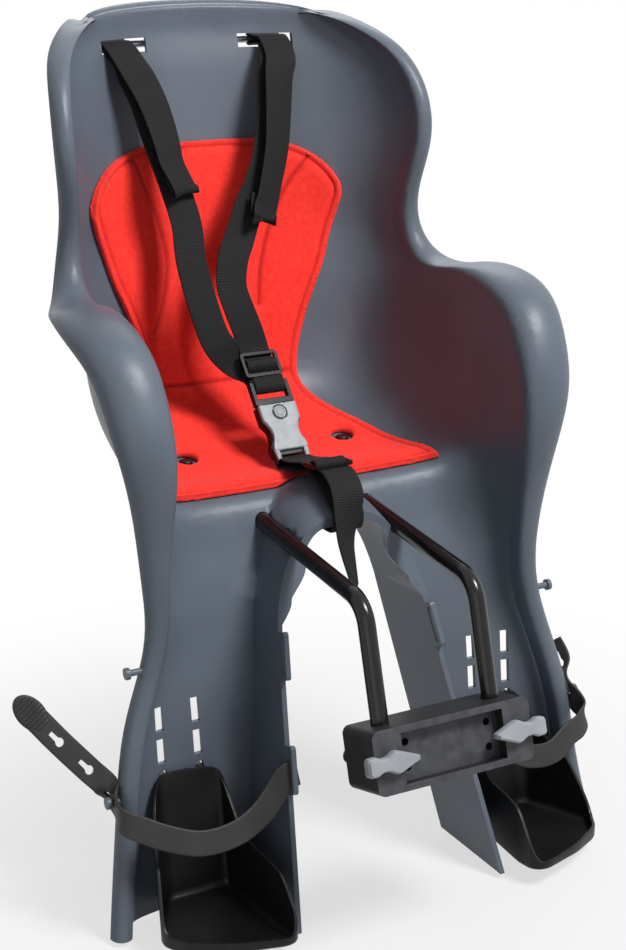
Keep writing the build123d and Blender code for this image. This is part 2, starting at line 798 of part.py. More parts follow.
with BuildPart() as buckle_back:
    with BuildSketch(buckle_plane.offset(-buckle_back_depth)):
        make_face(buckle_face())
    extrude(amount=buckle_back_depth + buckle_split)
    with BuildSketch(buckle_plane.offset(-buckle_bar_depth)):
        with Locations((0, (buckle_bottom + buckle_bar_end) / 2 + 1)):
            Rectangle(buckle_bar_width, buckle_bottom - buckle_bar_end + 2)
        with Locations((0, buckle_bar_end + buckle_bar)):
            Rectangle(
                web_width + 1,
                buckle_bottom - buckle_bar_end - buckle_bar,
                align=(Align.CENTER, Align.MIN),
                mode=Mode.SUBTRACT,
            )
    extrude(amount=buckle_bar_depth + buckle_split)
    with BuildSketch(buckle_plane.offset(-prong_half_depth - prong_gap)):
        for side in (-1, 1):
            with Locations((side * (prong_inner + prong_outer) / 2, prong_end - prong_gap)):
                Rectangle(
                    prong_outer - prong_inner + 2 * prong_gap,
                    buckle_top - prong_end + 2,
                    align=(Align.CENTER, Align.MIN),
                )
    extrude(amount=2 * prong_half_depth + 2 * prong_gap, mode=Mode.SUBTRACT)
    with BuildSketch(buckle_plane.offset(buckle_split)):
        with Locations((0, button_y)):
            Circle(button_flange / 2 + button_clearance)
    extrude(amount=-button_pocket_depth, mode=Mode.SUBTRACT)
buckle_back.part.label = "buckle_back"
export_step(buckle_back.part, "parts/buckle_back.step")

with BuildPart() as buckle_front:
    with BuildSketch(buckle_plane.offset(buckle_split)):
        make_face(buckle_face())
        with Locations((0, button_y)):
            Circle(button_diameter / 2 + button_clearance, mode=Mode.SUBTRACT)
    extrude(amount=buckle_front_depth - buckle_split)
buckle_front.part.label = "buckle_front"
export_step(buckle_front.part, "parts/buckle_front.step")

button_flange_top = buckle_split - button_clearance
spring_floor = buckle_split - button_pocket_depth

with BuildPart() as buckle_button:
    with BuildSketch(buckle_plane.offset(button_flange_top - button_flange_depth)):
        with Locations((0, button_y)):
            Circle(button_flange / 2)
    extrude(amount=button_flange_depth)
    with BuildSketch(buckle_plane.offset(button_flange_top - button_flange_depth)):
        with Locations((0, button_y)):
            Circle(button_diameter / 2)
    extrude(amount=button_top - button_flange_top + button_flange_depth)
    chamfer(buckle_button.faces().sort_by(Axis((0, 0, 0), buckle_plane.z_dir))[-1].edges(), 0.6)
buckle_button.part.label = "buckle_button"
export_step(buckle_button.part, "parts/buckle_button.step")

spring_free = button_flange_top - button_flange_depth - spring_floor - spring_wire - 2 * spring_end_gap
spring_start = spring_floor + spring_wire / 2 + spring_end_gap
spring_base = buckle_plane.from_local_coords((0, button_y, spring_start))

with BuildPart() as button_spring:
    with BuildLine() as coil:
        pitch = spring_free / spring_turns
        Helix(pitch, spring_free, spring_diameter / 2, center=spring_base, direction=buckle_plane.z_dir)
    with BuildSketch(Plane(origin=coil.line @ 0, z_dir=coil.line % 0)):
        Circle(spring_wire / 2)
    sweep(path=coil.line, is_frenet=True)
button_spring.part.label = "button_spring"
export_step(button_spring.part, "parts/button_spring.step")

with BuildPart() as buckle_tongue:
    with BuildSketch(buckle_plane.offset(-tongue_half_depth)):
        with Locations((0, tongue_bottom)):
            Rectangle(buckle_width, tongue_top - tongue_bottom, align=(Align.CENTER, Align.MIN))
        with Locations((0, tongue_top - tongue_frame)):
            Rectangle(tongue_window_width, tongue_window, align=(Align.CENTER, Align.MAX), mode=Mode.SUBTRACT)
    extrude(amount=2 * tongue_half_depth)
    with BuildSketch(buckle_plane.offset(-prong_half_depth)):
        for side in (-1, 1):
            with Locations((side * (prong_inner + prong_outer) / 2, prong_end)):
                Rectangle(
                    prong_outer - prong_inner,
                    tongue_bottom - prong_end + 1,
                    align=(Align.CENTER, Align.MIN),
                )
    extrude(amount=2 * prong_half_depth)
buckle_tongue.part.label = "buckle_tongue"
export_step(buckle_tongue.part, "parts/buckle_tongue.step")

# Sliders: three bars in a frame, which the webbing is threaded through.
crotch_slider_plane = Plane(
    origin=(0, crotch_slider_y, crotch_slider_z),
    x_dir=(1, 0, 0),
    z_dir=(0, sin(radians(crotch_slider_tilt)), cos(radians(crotch_slider_tilt))),
)
slider_step = slider_bar + slider_window


def slider_solid(plane):
    """Slider centred on a plane, with its bars along local X."""
    with BuildPart() as slider:
        with BuildSketch(plane.offset(-slider_half_depth)):
            RectangleRounded(slider_width, 2 * slider_step + slider_bar, slider_bar)
            with Locations((0, -slider_step / 2), (0, slider_step / 2)):
                Rectangle(web_width + 2, slider_window, mode=Mode.SUBTRACT)
        extrude(amount=2 * slider_half_depth)
    return slider.part


shoulder_slider_plane = Plane(
    origin=buckle_plane.from_local_coords((0, shoulder_slider_y, 0)), x_dir=(1, 0, 0), z_dir=buckle_plane.z_dir
)

with BuildPart() as shoulder_slider:
    add(slider_solid(shoulder_slider_plane))
shoulder_slider.part.label = "shoulder_slider"
export_step(shoulder_slider.part, "parts/shoulder_slider.step")

with BuildPart() as crotch_slider:
    add(slider_solid(crotch_slider_plane))
crotch_slider.part.label = "crotch_slider"
export_step(crotch_slider.part, "parts/crotch_slider.step")

# Webbing. Threading gives a strap's way through a slider as local Y and Z: under, over and under the bars.
wave = slider_half_depth + web_thickness / 2 + 0.6
threading = [
    (slider_step + slider_bar / 2 + 4, -wave),
    (slider_step - slider_bar / 2 - 0.8, -wave),
    (slider_bar / 2 + 0.8, wave),
    (-slider_bar / 2 - 0.8, wave),
    (slider_bar / 2 + 0.8 - slider_step, -wave),
    (-slider_step - slider_bar / 2 - 1, -wave),
]


def on_plane(plane, points):
    """World Y and Z of local Y and Z pairs in the seat's middle plane."""
    return [tuple(plane.from_local_coords((0, y, z)))[1:] for y, z in points]


def strap_loop(side):
    """Points of a shoulder strap round its bar, from under the bar to over it, through the shell's slot."""
    loop = [(-18, -2.8), (-7, -3.2), (0, -4.5), (4.3, -2.2), (4.3, 2.2), (0, 4.5), (-7, 3.2), (-19, 2.8)]
    return [(side * strap_slot_x, strap_bar_y + y, strap_slot_z + z) for y, z in loop]


with BuildPart() as shoulder_strap_left:
    left_points = [(-37, 356, 342), (-44, 364, 362), (-52, 384, 410), (-58, 393.5, 441)]
    left_points += strap_loop(-1)
    left_points += [(-60, 390, 447), (-52, 380, 413), (-44, 360, 364), (-37, 352, 344), (-41, 341, 321)]
    left_points += [(-40, 324, 282), (-39, 310, 245), (-31, 311, 226)]
    left_points += [tuple(buckle_plane.from_local_coords(p)) for p in ((-14, 60, -8.5), (-3, 48, -8), (0, 36, -6.8))]
    add(ribbon(left_points, (1, 0, 0), web_width, web_thickness))
shoulder_strap_left.part.label = "shoulder_strap_left"
export_step(shoulder_strap_left.part, "parts/shoulder_strap_left.step")

tongue_bend = tongue_half_depth + web_thickness / 2 + 0.4
tongue_loop = [
    (tongue_top, -tongue_bend),
    (tongue_top - tongue_frame, -tongue_bend),
    (tongue_top - tongue_frame - 3, -tongue_bend / 2),
    (tongue_top - tongue_frame - 4, 0),
    (tongue_top - tongue_frame - 3, tongue_bend / 2),
    (tongue_top - tongue_frame, tongue_bend),
    (tongue_top + 3, tongue_bend),
]

with BuildPart() as shoulder_strap_right:
    right_points = [(52, 386, 412), (58, 393.5, 441)]
    right_points += strap_loop(1)
    right_points += [(60, 390, 447), (59, 381, 414), (51, 366, 372), (38, 348, 334), (28, 341, 317)]
    right_points += [(6, 336, 307), (-8, 327, 287), (-12, 319, 270), (-7, 312, 251), (-2, 310, 235)]
    slider_way = [(shoulder_slider_y + y, z) for y, z in threading]
    right_points += [(0, y, z) for y, z in on_plane(buckle_plane, slider_way + tongue_loop)]
    add(ribbon(right_points, (1, 0, 0), web_width, web_thickness))
shoulder_strap_right.part.label = "shoulder_strap_right"
export_step(shoulder_strap_right.part, "parts/shoulder_strap_right.step")

buckle_loop = [(-34.9, -0.5), (-33.9, -3.4), (-29.5, -3.4), (-28.2, 0.2), (-30.2, 3.9)]


def flat_band(points):
    """Webbing that stays in the seat's middle plane: a thin outline of the path, as wide as the webbing."""
    path = [Vector(0, y, z) for y, z in points]
    runs = [(b - a).normalized() for a, b in zip(path, path[1:])]
    outline = []
    for face in (1, -1):
        edge = []
        for i, point in enumerate(path):
            along = (runs[max(i - 1, 0)] + runs[min(i, len(runs) - 1)]).normalized()
            shift = along.cross(Vector(face, 0, 0)) * web_thickness / 2
            edge.append(tuple(point + shift)[1:])
        outline += edge[::face]
    with BuildPart() as band:
        with BuildSketch(Plane.YZ):
            with BuildLine():
                Polyline(*outline, close=True)
            make_face()
        extrude(amount=web_width / 2, both=True)
    return band.part


with BuildPart() as crotch_strap:
    crotch_points = [(216, 143.8), (230, 141.6)]
    crotch_points += on_plane(buckle_plane, buckle_loop)
    crotch_points += [(230, 148), (218, 150.5), (204, 154)]
    crotch_points += on_plane(crotch_slider_plane, threading)
    crotch_points += [(160, 150), (152, 141), (148.5, 128), (147.5, 110), (145, 85), (142, 67)]
    add(flat_band(crotch_points))
crotch_strap.part.label = "crotch_strap"
export_step(crotch_strap.part, "parts/crotch_strap.step")

with BuildPart() as crotch_anchor:
    anchor_points = [(196, 149), (185, 148), (170, 139.5), (158, 131.5), (153.2, 127), (153, 118)]
    anchor_points += [(155.5, 113.2), (163, 112), (180, 112.5), (205, 113.8), (215, 113.8)]
    anchor_points += [(218.5, 115.5), (219.2, 118), (218.5, 120.6), (215, 122.2), (198, 119.5)]
    add(flat_band(anchor_points))
crotch_anchor.part.label = "crotch_anchor"
export_step(crotch_anchor.part, "parts/crotch_anchor.step")

# Footrests: open scoops with hooks through the slots of the legs, and the straps over them.
loop_run = (0, front_edge(1) - front_edge(0), 1)
strap_start_y = front_edge(loop_heights[1]) + shell_wall - (loop_depth + shell_wall - loop_rim - loop_slit / 2)
knob_x, knob_rim_y = rim_at(knob_heights[1])
knob_point = (knob_x + knob_length / 2, knob_rim_y + knob_set_back, knob_heights[1])
strap_ways = {
    "left": [(108, 97, -72), (128, 93, -85), (153, 94, -88), (176, 102, -79), (192, 110, -74), (203, 120, -69)],
    "right": [(108, 101, -68), (136, 99, -84), (160, 100, -86), (180, 105, -77), (195, 111, -75), (204, 120, -70)],
}
strap_tails = {
    "left": [(204, 147, -48), (217, 154, -32), (234, 163, -12), (250, 173, 10)],
    "right": [(204, 152, -38), (200, 163, -22)],
}

for side, name in ((-1, "left"), (1, "right")):
    with BuildPart() as footrest:
        with BuildSketch(Plane.XY.offset(leg_bottom_z)):
            with BuildLine():
                Polyline(*[(side * x, y) for x, y in foot_plan], close=True)
            make_face()
        extrude(amount=-leg_bottom_z)
        with BuildSketch(Plane.YZ):
            with BuildLine():
                Polyline(*foot_side, close=True)
            make_face()
        extrude(amount=side * foot_half_width, mode=Mode.INTERSECT)
        slope = footrest.faces().sort_by(Axis((0, 0, 0), (0, -0.55, 0.83)))[-1]
        offset(amount=-foot_wall, openings=slope, kind=Kind.INTERSECTION)
        for row in hook_rows:
            z = leg_slot_top_z - row * leg_slot_pitch
            for column in (0, 1):
                x = side * (leg_slot_x + column * leg_slot_gap)
                with Locations((x, leg_y(z) - 6, z)):
                    Box(hook_width, 6 + shell_wall + hook_gap + foot_wall, hook_height, align=(Align.CENTER, Align.MIN, Align.CENTER))
                with Locations((x, leg_y(z) + shell_wall * 1.05 + hook_gap + 1, z + hook_height / 2)):
                    Box(
                        hook_width,
                        foot_wall,
                        hook_height + hook_drop,
                        align=(Align.CENTER, Align.MIN, Align.MAX),
                    )
    footrest.part.label = f"footrest_{name}"
    export_step(footrest.part, f"parts/footrest_{name}.step")

    with BuildPart() as foot_strap:
        way = [(arch_x(loop_heights[1]) - 12, strap_start_y, loop_heights[1])]
        way += [(arch_x(loop_heights[1]) + 4, strap_start_y, loop_heights[1]), (92, 101, -57)]
        way += strap_ways[name] + [knob_point] + strap_tails[name]
        add(ribbon([(side * x, y, z) for x, y, z in way], loop_run, foot_strap_width, foot_strap_thickness))
        with Locations(Pos(side * knob_point[0], knob_point[1], knob_point[2]) * Rot(0, 90, 0)):
            Cylinder(keyhole / 2, 3 * knob_length, mode=Mode.SUBTRACT)
    foot_strap.part.label = f"foot_strap_{name}"
    export_step(foot_strap.part, f"parts/foot_strap_{name}.step")
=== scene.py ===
import json
import bmesh
import bpy
import numpy as np
from mathutils import Matrix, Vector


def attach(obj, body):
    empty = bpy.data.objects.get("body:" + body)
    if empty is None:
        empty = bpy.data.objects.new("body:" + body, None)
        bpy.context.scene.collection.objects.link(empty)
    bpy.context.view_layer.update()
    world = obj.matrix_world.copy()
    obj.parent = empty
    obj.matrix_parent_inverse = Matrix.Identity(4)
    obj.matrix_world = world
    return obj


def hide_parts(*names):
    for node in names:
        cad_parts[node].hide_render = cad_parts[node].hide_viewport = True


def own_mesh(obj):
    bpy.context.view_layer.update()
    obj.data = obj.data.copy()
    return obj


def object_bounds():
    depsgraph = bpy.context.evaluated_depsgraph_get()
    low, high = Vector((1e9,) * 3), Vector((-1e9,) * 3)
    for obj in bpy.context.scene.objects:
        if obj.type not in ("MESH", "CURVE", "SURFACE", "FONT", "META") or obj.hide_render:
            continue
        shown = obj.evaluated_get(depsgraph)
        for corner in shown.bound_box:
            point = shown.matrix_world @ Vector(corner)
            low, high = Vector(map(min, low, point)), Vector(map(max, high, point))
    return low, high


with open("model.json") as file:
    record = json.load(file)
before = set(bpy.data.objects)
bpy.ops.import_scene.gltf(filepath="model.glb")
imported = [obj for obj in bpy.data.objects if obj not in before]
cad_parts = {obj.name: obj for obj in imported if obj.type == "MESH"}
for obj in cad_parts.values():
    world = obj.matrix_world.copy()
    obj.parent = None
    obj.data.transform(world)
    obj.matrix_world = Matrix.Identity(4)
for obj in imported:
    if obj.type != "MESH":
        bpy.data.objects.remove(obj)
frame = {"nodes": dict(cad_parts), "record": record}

# Looks of a child bike seat. Pieces are worked out in millimetres of the CAD frame, and MM turns them to
# metres. The origin is the middle of the clamp block's front face, +Z is up and -Y is forwards.
MM = 0.001
cad_low, cad_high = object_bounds()

# Camera, worked out from the object's mirror symmetry: it looks from the front left and from above. Metres.
CAMERA_PLACE = (-0.65343, -0.98585, 0.58087)
CAMERA_TURN = np.radians(28.6928)
CAMERA_DIP = np.radians(17.9055)
CAMERA_LENS_MM = 70.1
CAMERA_SENSOR_MM = 36

# Light and floor, in metres and watts: lamps by place, size and power, and the white round the shadow.
LAMPS = {
    "key": ((0.62, -0.95, 1.85), 0.6, 55),
    "fill": ((-1.6, -2.0, 0.7), 1.8, 7),
    "back": ((1.0, 1.9, 1.7), 1.2, 12),
}
LAMP_AIM = (0, 0.2, 0.15)
WORLD_LIGHT = 0.15
FLOOR_GAP = 0.004
FLOOR_REACH = 6.0
SHADOW_MIDDLE = (0, 0.16)
SHADOW_REACH = (0.1, 0.62)
SHADOW_WHITE = 0.66

# Webbing, the slots and bars of the shoulder straps, and the two sliders.
WEB_WIDTH = 26.5
WEB_THICKNESS = 1.6
SLOT_Z = 453
BAR_Y = 423.5
LEFT_BAR_X = -70
RIGHT_BAR_X = 69
SHOULDER_SLIDER_UP = 54
CROTCH_SLIDER_PLACE = (0, 184, 157.5)
CROTCH_SLIDER_TILT = np.radians(-5.7)

# Clamp block and levers, set on the block's leaning front face.
BLOCK_LEAN = np.radians(16)
BLOCK_DEPTH = 45
BLOCK_EDGE = 1.0
# Faces turned further to the front than this get the painted sheen.
FRONT_FACING = 0.9
LEVER_X = 59
LEVER_CORNER = 1.6
LEVER_SHAFT_RADIUS = 3.5
LEVER_SHAFT_PAST_BLOCK = 3.3

# Buckle, set on its own tilted plane: up from its middle, and out of its face.
BUCKLE_PLACE = np.array([0, 261, 168])
BUCKLE_TILT = np.radians(50.5)
BUTTON_UP = 9
BUTTON_HOLE_RADIUS = 6.3
COVER_FOOT = 2.25
COVER_CORNER = 2.0
COVER_LEG_TOP = 4.9
COVER_LEG_CORNER = 1.4
COVER_LEG_EDGE = 0.9

# Footrests: wall, plan corners, lip, top of the back plate, lean of the leg behind it, and hooks.
FOOT_WALL = 2.6
FOOT_CORNER = 16
FOOT_LIP = np.array([(105, 38), (194, 88)])
FOOT_LIP_Z = -141
FOOT_LIP_RISE = np.radians(55)
FOOT_TOP_X = 107
FOOT_TOP_Z = -58
FOOT_TOP_SLOPE = 0.15
FOOT_TOP_CORNER = 10
LEG_LEAN = np.tan(np.radians(8.8))
LEG_BACK_Y = 171
LEAN_TOP_Z = -56
LEAN_FROM_Y = 60
LEAN_FULL_Y = 150
HOOK_X = (123, 154)
HOOK_Z = (-63, -88)
HOOK_CORNER = 1.6

# Foot straps: band, knob on the flange, keyholes, and the grip's length and width.
STRAP_WIDTH = 19
STRAP_THICKNESS = 2.6
STRAP_LEVEL = np.array([0, 0.378, 1])
STRAP_LEVEL /= np.linalg.norm(STRAP_LEVEL)
KNOB = (202.5, 138.7, -57)
KEYHOLE_RADIUS = 3.4
KEYHOLE_CORNER = 1.2
KEYHOLE_REACH = 5
SLIT_END = 10
SLIT_HALF_WIDTH = 1.7
GRIP_SIZE = np.array([32, 20.8])
GRIP_THICKNESS = 3.8
GRIP_RIB = 0.55
GRIP_RIB_SPACING = 3.1

# Pad: face size, border along the rim, dips round the screw holes, pressed lines, and fold of back and seat.
PAD_VOXEL = 1.4
PAD_ROUNDS = 9
PAD_UP = np.array([0, -0.71, 0.71])
UPPER_START = 0.15
UPPER_FULL = 0.5
BORDER_DEPTH = 1.3
BORDER_START = 5.5
BORDER_END = 13
RIM_LINE_PLACE = 5.8
RIM_LINE_WIDTH = 1.0
RIM_LINE_STRENGTH = 0.8
PAD_HOLES = np.array([(-71, 288), (71, 288)])
PAD_HOLE_REACH = 12
HOLE_DIP = 0.9
HOLE_DIP_REACH = 3
LINE_DEPTH = 1.9
LINE_WIDTH = 1.5
GROOVE_DEPTH = 1.5
GROOVE_WIDTH = 6.5
FOLD_PLACE = 541
FOLD_LINE_WIDTH = 1.6
FOLD_DEPTH = 1.2
FOLD_WIDTH = 6
FOLD_FADE_START = 3
FOLD_FADE_END = 8
# Painted shade along the pressed lines, the rim line and the fold: the share of the darker red.
PAINTED_LINE_SHADE = 0.75

# Copies of solids: how near points are joined, in metres, and how flat a group of faces is made one.
MERGE_DISTANCE = 1e-6
FLAT_ANGLE = np.radians(0.5)


def linear(hex_code):
    """Linear colour of an sRGB hex value: below 0.04045 divided by 12.92, above it a power of 2.4."""
    channel = np.array([int(hex_code[i : i + 2], 16) for i in (1, 3, 5)]) / 255
    power = ((channel + 0.055) / 1.055) ** 2.4
    return (*np.where(channel <= 0.04045, channel / 12.92, power).tolist(), 1.0)


def add_node(tree, kind, settings=None, inputs=None):
    """Adds a node, sets its properties, and gives its inputs values or links from other nodes' sockets."""
    made = tree.nodes.new(kind)
    for key, value in (settings or {}).items():
        setattr(made, key, value)
    for key, value in (inputs or {}).items():
        if isinstance(value, bpy.types.NodeSocket):
            tree.links.new(value, made.inputs[key])
        else:
            made.inputs[key].default_value = value
    return made


def new_material(name, inputs):
    """Material with a Principled shader whose sockets get the given plain values."""
    material = bpy.data.materials.new(name)
    material.use_nodes = True
    tree = material.node_tree
    shader = tree.nodes["Principled BSDF"]
    for key, value in inputs.items():
        shader.inputs[key].default_value = value
    return material, tree, shader


def mottle(tree, shader, low, high, size_mm):
    """Colour that drifts between two hex values over patches of a real size."""
    place = add_node(tree, "ShaderNodeTexCoord")
    patch = add_node(
        tree,
        "ShaderNodeTexNoise",
        inputs={"Vector": place.outputs["Object"], "Scale": 1 / (size_mm * MM), "Detail": 4.0},
    )
    ramp = add_node(tree, "ShaderNodeValToRGB", inputs={"Fac": patch.outputs["Fac"]})
    for element, position, code in zip(ramp.color_ramp.elements, (0.35, 0.65), (low, high)):
        element.position = position
        element.color = linear(code)
    tree.links.new(ramp.outputs["Color"], shader.inputs["Base Color"])


def grain(tree, shader, size_mm, depth_mm, strength):
    """Fine moulded grain: noise with cells of a real size, as bump."""
    place = add_node(tree, "ShaderNodeTexCoord")
    cells = add_node(
        tree,
        "ShaderNodeTexNoise",
        inputs={"Vector": place.outputs["Object"], "Scale": 1 / (size_mm * MM), "Detail": 3.0},
    )
    bump = add_node(
        tree,
        "ShaderNodeBump",
        inputs={"Height": cells.outputs["Fac"], "Distance": depth_mm * MM, "Strength": strength},
    )
    tree.links.new(bump.outputs["Normal"], shader.inputs["Normal"])


def moulded_polypropylene():
    """Injection-moulded polypropylene with a spark-eroded grain: satin, bluish grey, soft highlights."""
    material, tree, shader = new_material(
        "moulded polypropylene", {"Roughness": 0.42, "IOR": 1.49, "Specular IOR Level": 0.35}
    )
    mottle(tree, shader, "#525a65", "#5b636e", size_mm=90)
    grain(tree, shader, size_mm=0.9, depth_mm=0.05, strength=0.22)
    return material


def pressed_foam():
    """Pressed foam faced with short-pile cloth: bright red, matt, with a fine nap that catches light.

    The cloth is darker along the pressed lines, the rim line and the fold, by the pad's attribute: painted
    shade."""
    material, tree, shader = new_material(
        "pressed foam",
        {"Roughness": 0.85, "Sheen Weight": 0.2, "Sheen Roughness": 0.4, "Specular IOR Level": 0.25},
    )
    mottle(tree, shader, "#f23027", "#fa3a30", size_mm=4)
    cloth = shader.inputs["Base Color"].links[0].from_socket
    # Painted shade: towards dark red where the pad's attribute marks the pressed lines and the fold.
    pressed = add_node(tree, "ShaderNodeAttribute", {"attribute_name": "pressed"})
    # Inputs 6 and 7 are the colours that the node mixes, and output 2 is the mixed colour.
    shade = add_node(
        tree,
        "ShaderNodeMix",
        {"data_type": "RGBA"},
        {0: pressed.outputs["Fac"], 6: cloth, 7: linear("#a3150f")},
    )
    tree.links.new(shade.outputs[2], shader.inputs["Base Color"])
    grain(tree, shader, size_mm=0.9, depth_mm=0.12, strength=0.35)
    return material


def even_finish(name, low, high, roughness, grain_mm, patch_mm=25, gloss=0.35):
    """Finish that drifts a little between two near tones, with a fine grain."""
    material, tree, shader = new_material(name, {"Roughness": roughness, "Specular IOR Level": gloss})
    mottle(tree, shader, low, high, patch_mm)
    grain(tree, shader, grain_mm, depth_mm=0.04, strength=0.25)
    return material


def plated_steel():
    """Zinc-plated steel: grey metal with a slightly cloudy shine."""
    material, tree, shader = new_material("plated steel", {"Metallic": 1.0, "Roughness": 0.35})
    mottle(tree, shader, "#8f9194", "#a7a9ab", size_mm=6)
    return material


def woven_nylon():
    """Woven nylon webbing: weft ribs across the band, read from the band's own map in millimetres.

    It is dull black with paler ribs. The weave is a sine along the band plus a weaker one across it, about
    twice as coarse as the real one, so that it shows in the render."""
    rib_mm, warp_mm, warp_share = 1.9, 1.4, 0.35
    material, tree, shader = new_material(
        "woven nylon", {"Roughness": 0.75, "Specular IOR Level": 0.2, "Sheen Weight": 0.03}
    )
    place = add_node(tree, "ShaderNodeTexCoord")
    split = add_node(tree, "ShaderNodeSeparateXYZ", inputs={"Vector": place.outputs["UV"]})
    waves = []
    for axis, spacing_mm in (("X", rib_mm), ("Y", warp_mm)):
        turn = add_node(
            tree,
            "ShaderNodeMath",
            {"operation": "MULTIPLY"},
            {0: split.outputs[axis], 1: 2 * np.pi / spacing_mm},
        )
        waves.append(add_node(tree, "ShaderNodeMath", {"operation": "SINE"}, {0: turn.outputs[0]}))
    weave = add_node(
        tree,
        "ShaderNodeMath",
        {"operation": "MULTIPLY_ADD"},
        {0: waves[1].outputs[0], 1: warp_share, 2: waves[0].outputs[0]},
    )
    level = add_node(
        tree,
        "ShaderNodeMapRange",
        inputs={"Value": weave.outputs[0], "From Min": -1 - warp_share, "From Max": 1 + warp_share},
    )
    ramp = add_node(tree, "ShaderNodeValToRGB", inputs={"Fac": level.outputs[0]})
    ramp.color_ramp.elements[0].color = linear("#060607")
    ramp.color_ramp.elements[1].color = linear("#1f1f21")
    tree.links.new(ramp.outputs["Color"], shader.inputs["Base Color"])
    bump = add_node(
        tree,
        "ShaderNodeBump",
        inputs={"Height": level.outputs[0], "Distance": 0.35 * MM, "Strength": 0.7},
    )
    tree.links.new(bump.outputs["Normal"], shader.inputs["Normal"])
    return material


finishes = {
    "shell": moulded_polypropylene(),
    "pad": pressed_foam(),
    # Enamel baked on the steel bar: deep black and glossy, with hardly any grain.
    "bow": even_finish("black enamel", "#0b0b0c", "#101011", roughness=0.2, grain_mm=3.0),
    # Glass-filled nylon as it leaves the mould: dull black.
    "block": even_finish("glass-filled nylon", "#161617", "#1e1f20", roughness=0.5, grain_mm=1.2),
    # The same nylon on the block's front faces, paler as painted sheen, and cloudy.
    "block_face_sheen": even_finish(
        "glass-filled nylon with painted sheen", "#34353a", "#46474c", roughness=0.5, grain_mm=0.9, patch_mm=9
    ),
    # Moulded acetal: pale grey with a soft shine.
    "lever": even_finish("grey acetal", "#90939a", "#9b9ea5", roughness=0.42, grain_mm=1.2),
    "steel": plated_steel(),
    # Steel blackened in a hot bath: near black, with a dull shine.
    "screw": even_finish("blackened steel", "#0a0a0b", "#121213", roughness=0.4, grain_mm=1.0),
    "webbing": woven_nylon(),
    # Acetal from a polished mould: deep black, with small soft highlights.
    "buckle": even_finish("black acetal", "#060607", "#0b0b0c", roughness=0.28, grain_mm=3.0, gloss=0.13),
    # Acetal from a blasted mould: grey, matt and slightly cloudy.
    "buckle_face": even_finish(
        "grey acetal, matt", "#8b8e92", "#999ca0", roughness=0.45, grain_mm=0.8, patch_mm=8
    ),
    # Moulded polypropylene: satin black, with soft highlights along its rims.
    "footrest": even_finish(
        "black polypropylene", "#0d0d0f", "#131315", roughness=0.42, grain_mm=1.2, gloss=0.25
    ),
    # Moulded rubber: very dark grey and matt.
    "foot_strap": even_finish("black rubber", "#222223", "#2b2b2c", roughness=0.55, grain_mm=1.0),
}

for part in frame["record"]["subparts"]:
    mesh = frame["nodes"][part["node"]].data
    for index in range(len(mesh.materials)):
        mesh.materials[index] = finishes[part["material_slot"]]


def finish_piece(made, slot, body, *nodes):
    """Shades a piece smooth, gives it its body, and hides the CAD nodes that it stands for; its slot is not
    used.
    """
    made.data.polygons.foreach_set("use_smooth", np.ones(len(made.data.polygons), dtype=bool))
    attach(made, body)
    if nodes:
        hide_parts(*nodes)
    return made


def linked(name, mesh, slot):
    """Object of a mesh with one finish, linked into the scene."""
    mesh.name = name
    mesh.materials.clear()
    mesh.materials.append(finishes[slot])
    made = bpy.data.objects.new(name, mesh)
    bpy.context.collection.objects.link(made)
    return made


def mesh_object(name, vertices, faces, slot, vertex_map=None):
    """Object from whole arrays of vertices and faces, with an optional map of two numbers per vertex."""
    mesh = bpy.data.meshes.new(name)
    mesh.from_pydata(np.asarray(vertices).tolist(), [], faces)
    if vertex_map is not None:
        corner = np.empty(len(mesh.loops), dtype=np.int32)
        mesh.loops.foreach_get("vertex_index", corner)
        layer = mesh.uv_layers.new(name="UVMap")
        layer.data.foreach_set("uv", vertex_map[corner].astype(np.float32).ravel())
    return linked(name, mesh, slot)


def merged_copy(name, node, slot):
    """Copy of a rigid node with its loose triangles joined and its flats made whole."""
    mesh = frame["nodes"][node].data.copy()
    work = bmesh.new()
    work.from_mesh(mesh)
    bmesh.ops.remove_doubles(work, verts=work.verts, dist=MERGE_DISTANCE)
    bmesh.ops.dissolve_limit(work, angle_limit=FLAT_ANGLE, verts=work.verts, edges=work.edges)
    work.to_mesh(mesh)
    work.free()
    return linked(name, mesh, slot)


def applied(made):
    """Works a piece's modifiers into its mesh."""
    bpy.context.view_layer.update()
    whole = bpy.data.meshes.new_from_object(made.evaluated_get(bpy.context.evaluated_depsgraph_get()))
    made.modifiers.clear()
    made.data = whole
    return made


def cut(made, cutter):
    """Takes a closed piece out of another, and throws the cutter away."""
    tool = made.modifiers.new("cut", "BOOLEAN")
    tool.operation = "DIFFERENCE"
    tool.solver = "EXACT"
    tool.object = cutter
    applied(made)
    bpy.data.objects.remove(cutter)


def sharp_over(made, degrees):
    """Keeps edges sharper than an angle crisp, and lets large faces lead the shading of the rest."""
    made.data.set_sharp_from_angle(angle=np.radians(degrees))
    normals = made.modifiers.new("normals", "WEIGHTED_NORMAL")
    normals.keep_sharp = True
    return made


def rounded_copy(name, node, slot, body, width_mm):
    """Copy of a rigid node with its edges rounded."""
    made = merged_copy(name, node, slot)
    edge = made.modifiers.new("edges", "BEVEL")
    edge.width = width_mm * MM
    edge.segments = 3
    edge.limit_method = "ANGLE"
    edge.angle_limit = np.radians(35)
    return finish_piece(sharp_over(made, degrees=50), slot, body, node)


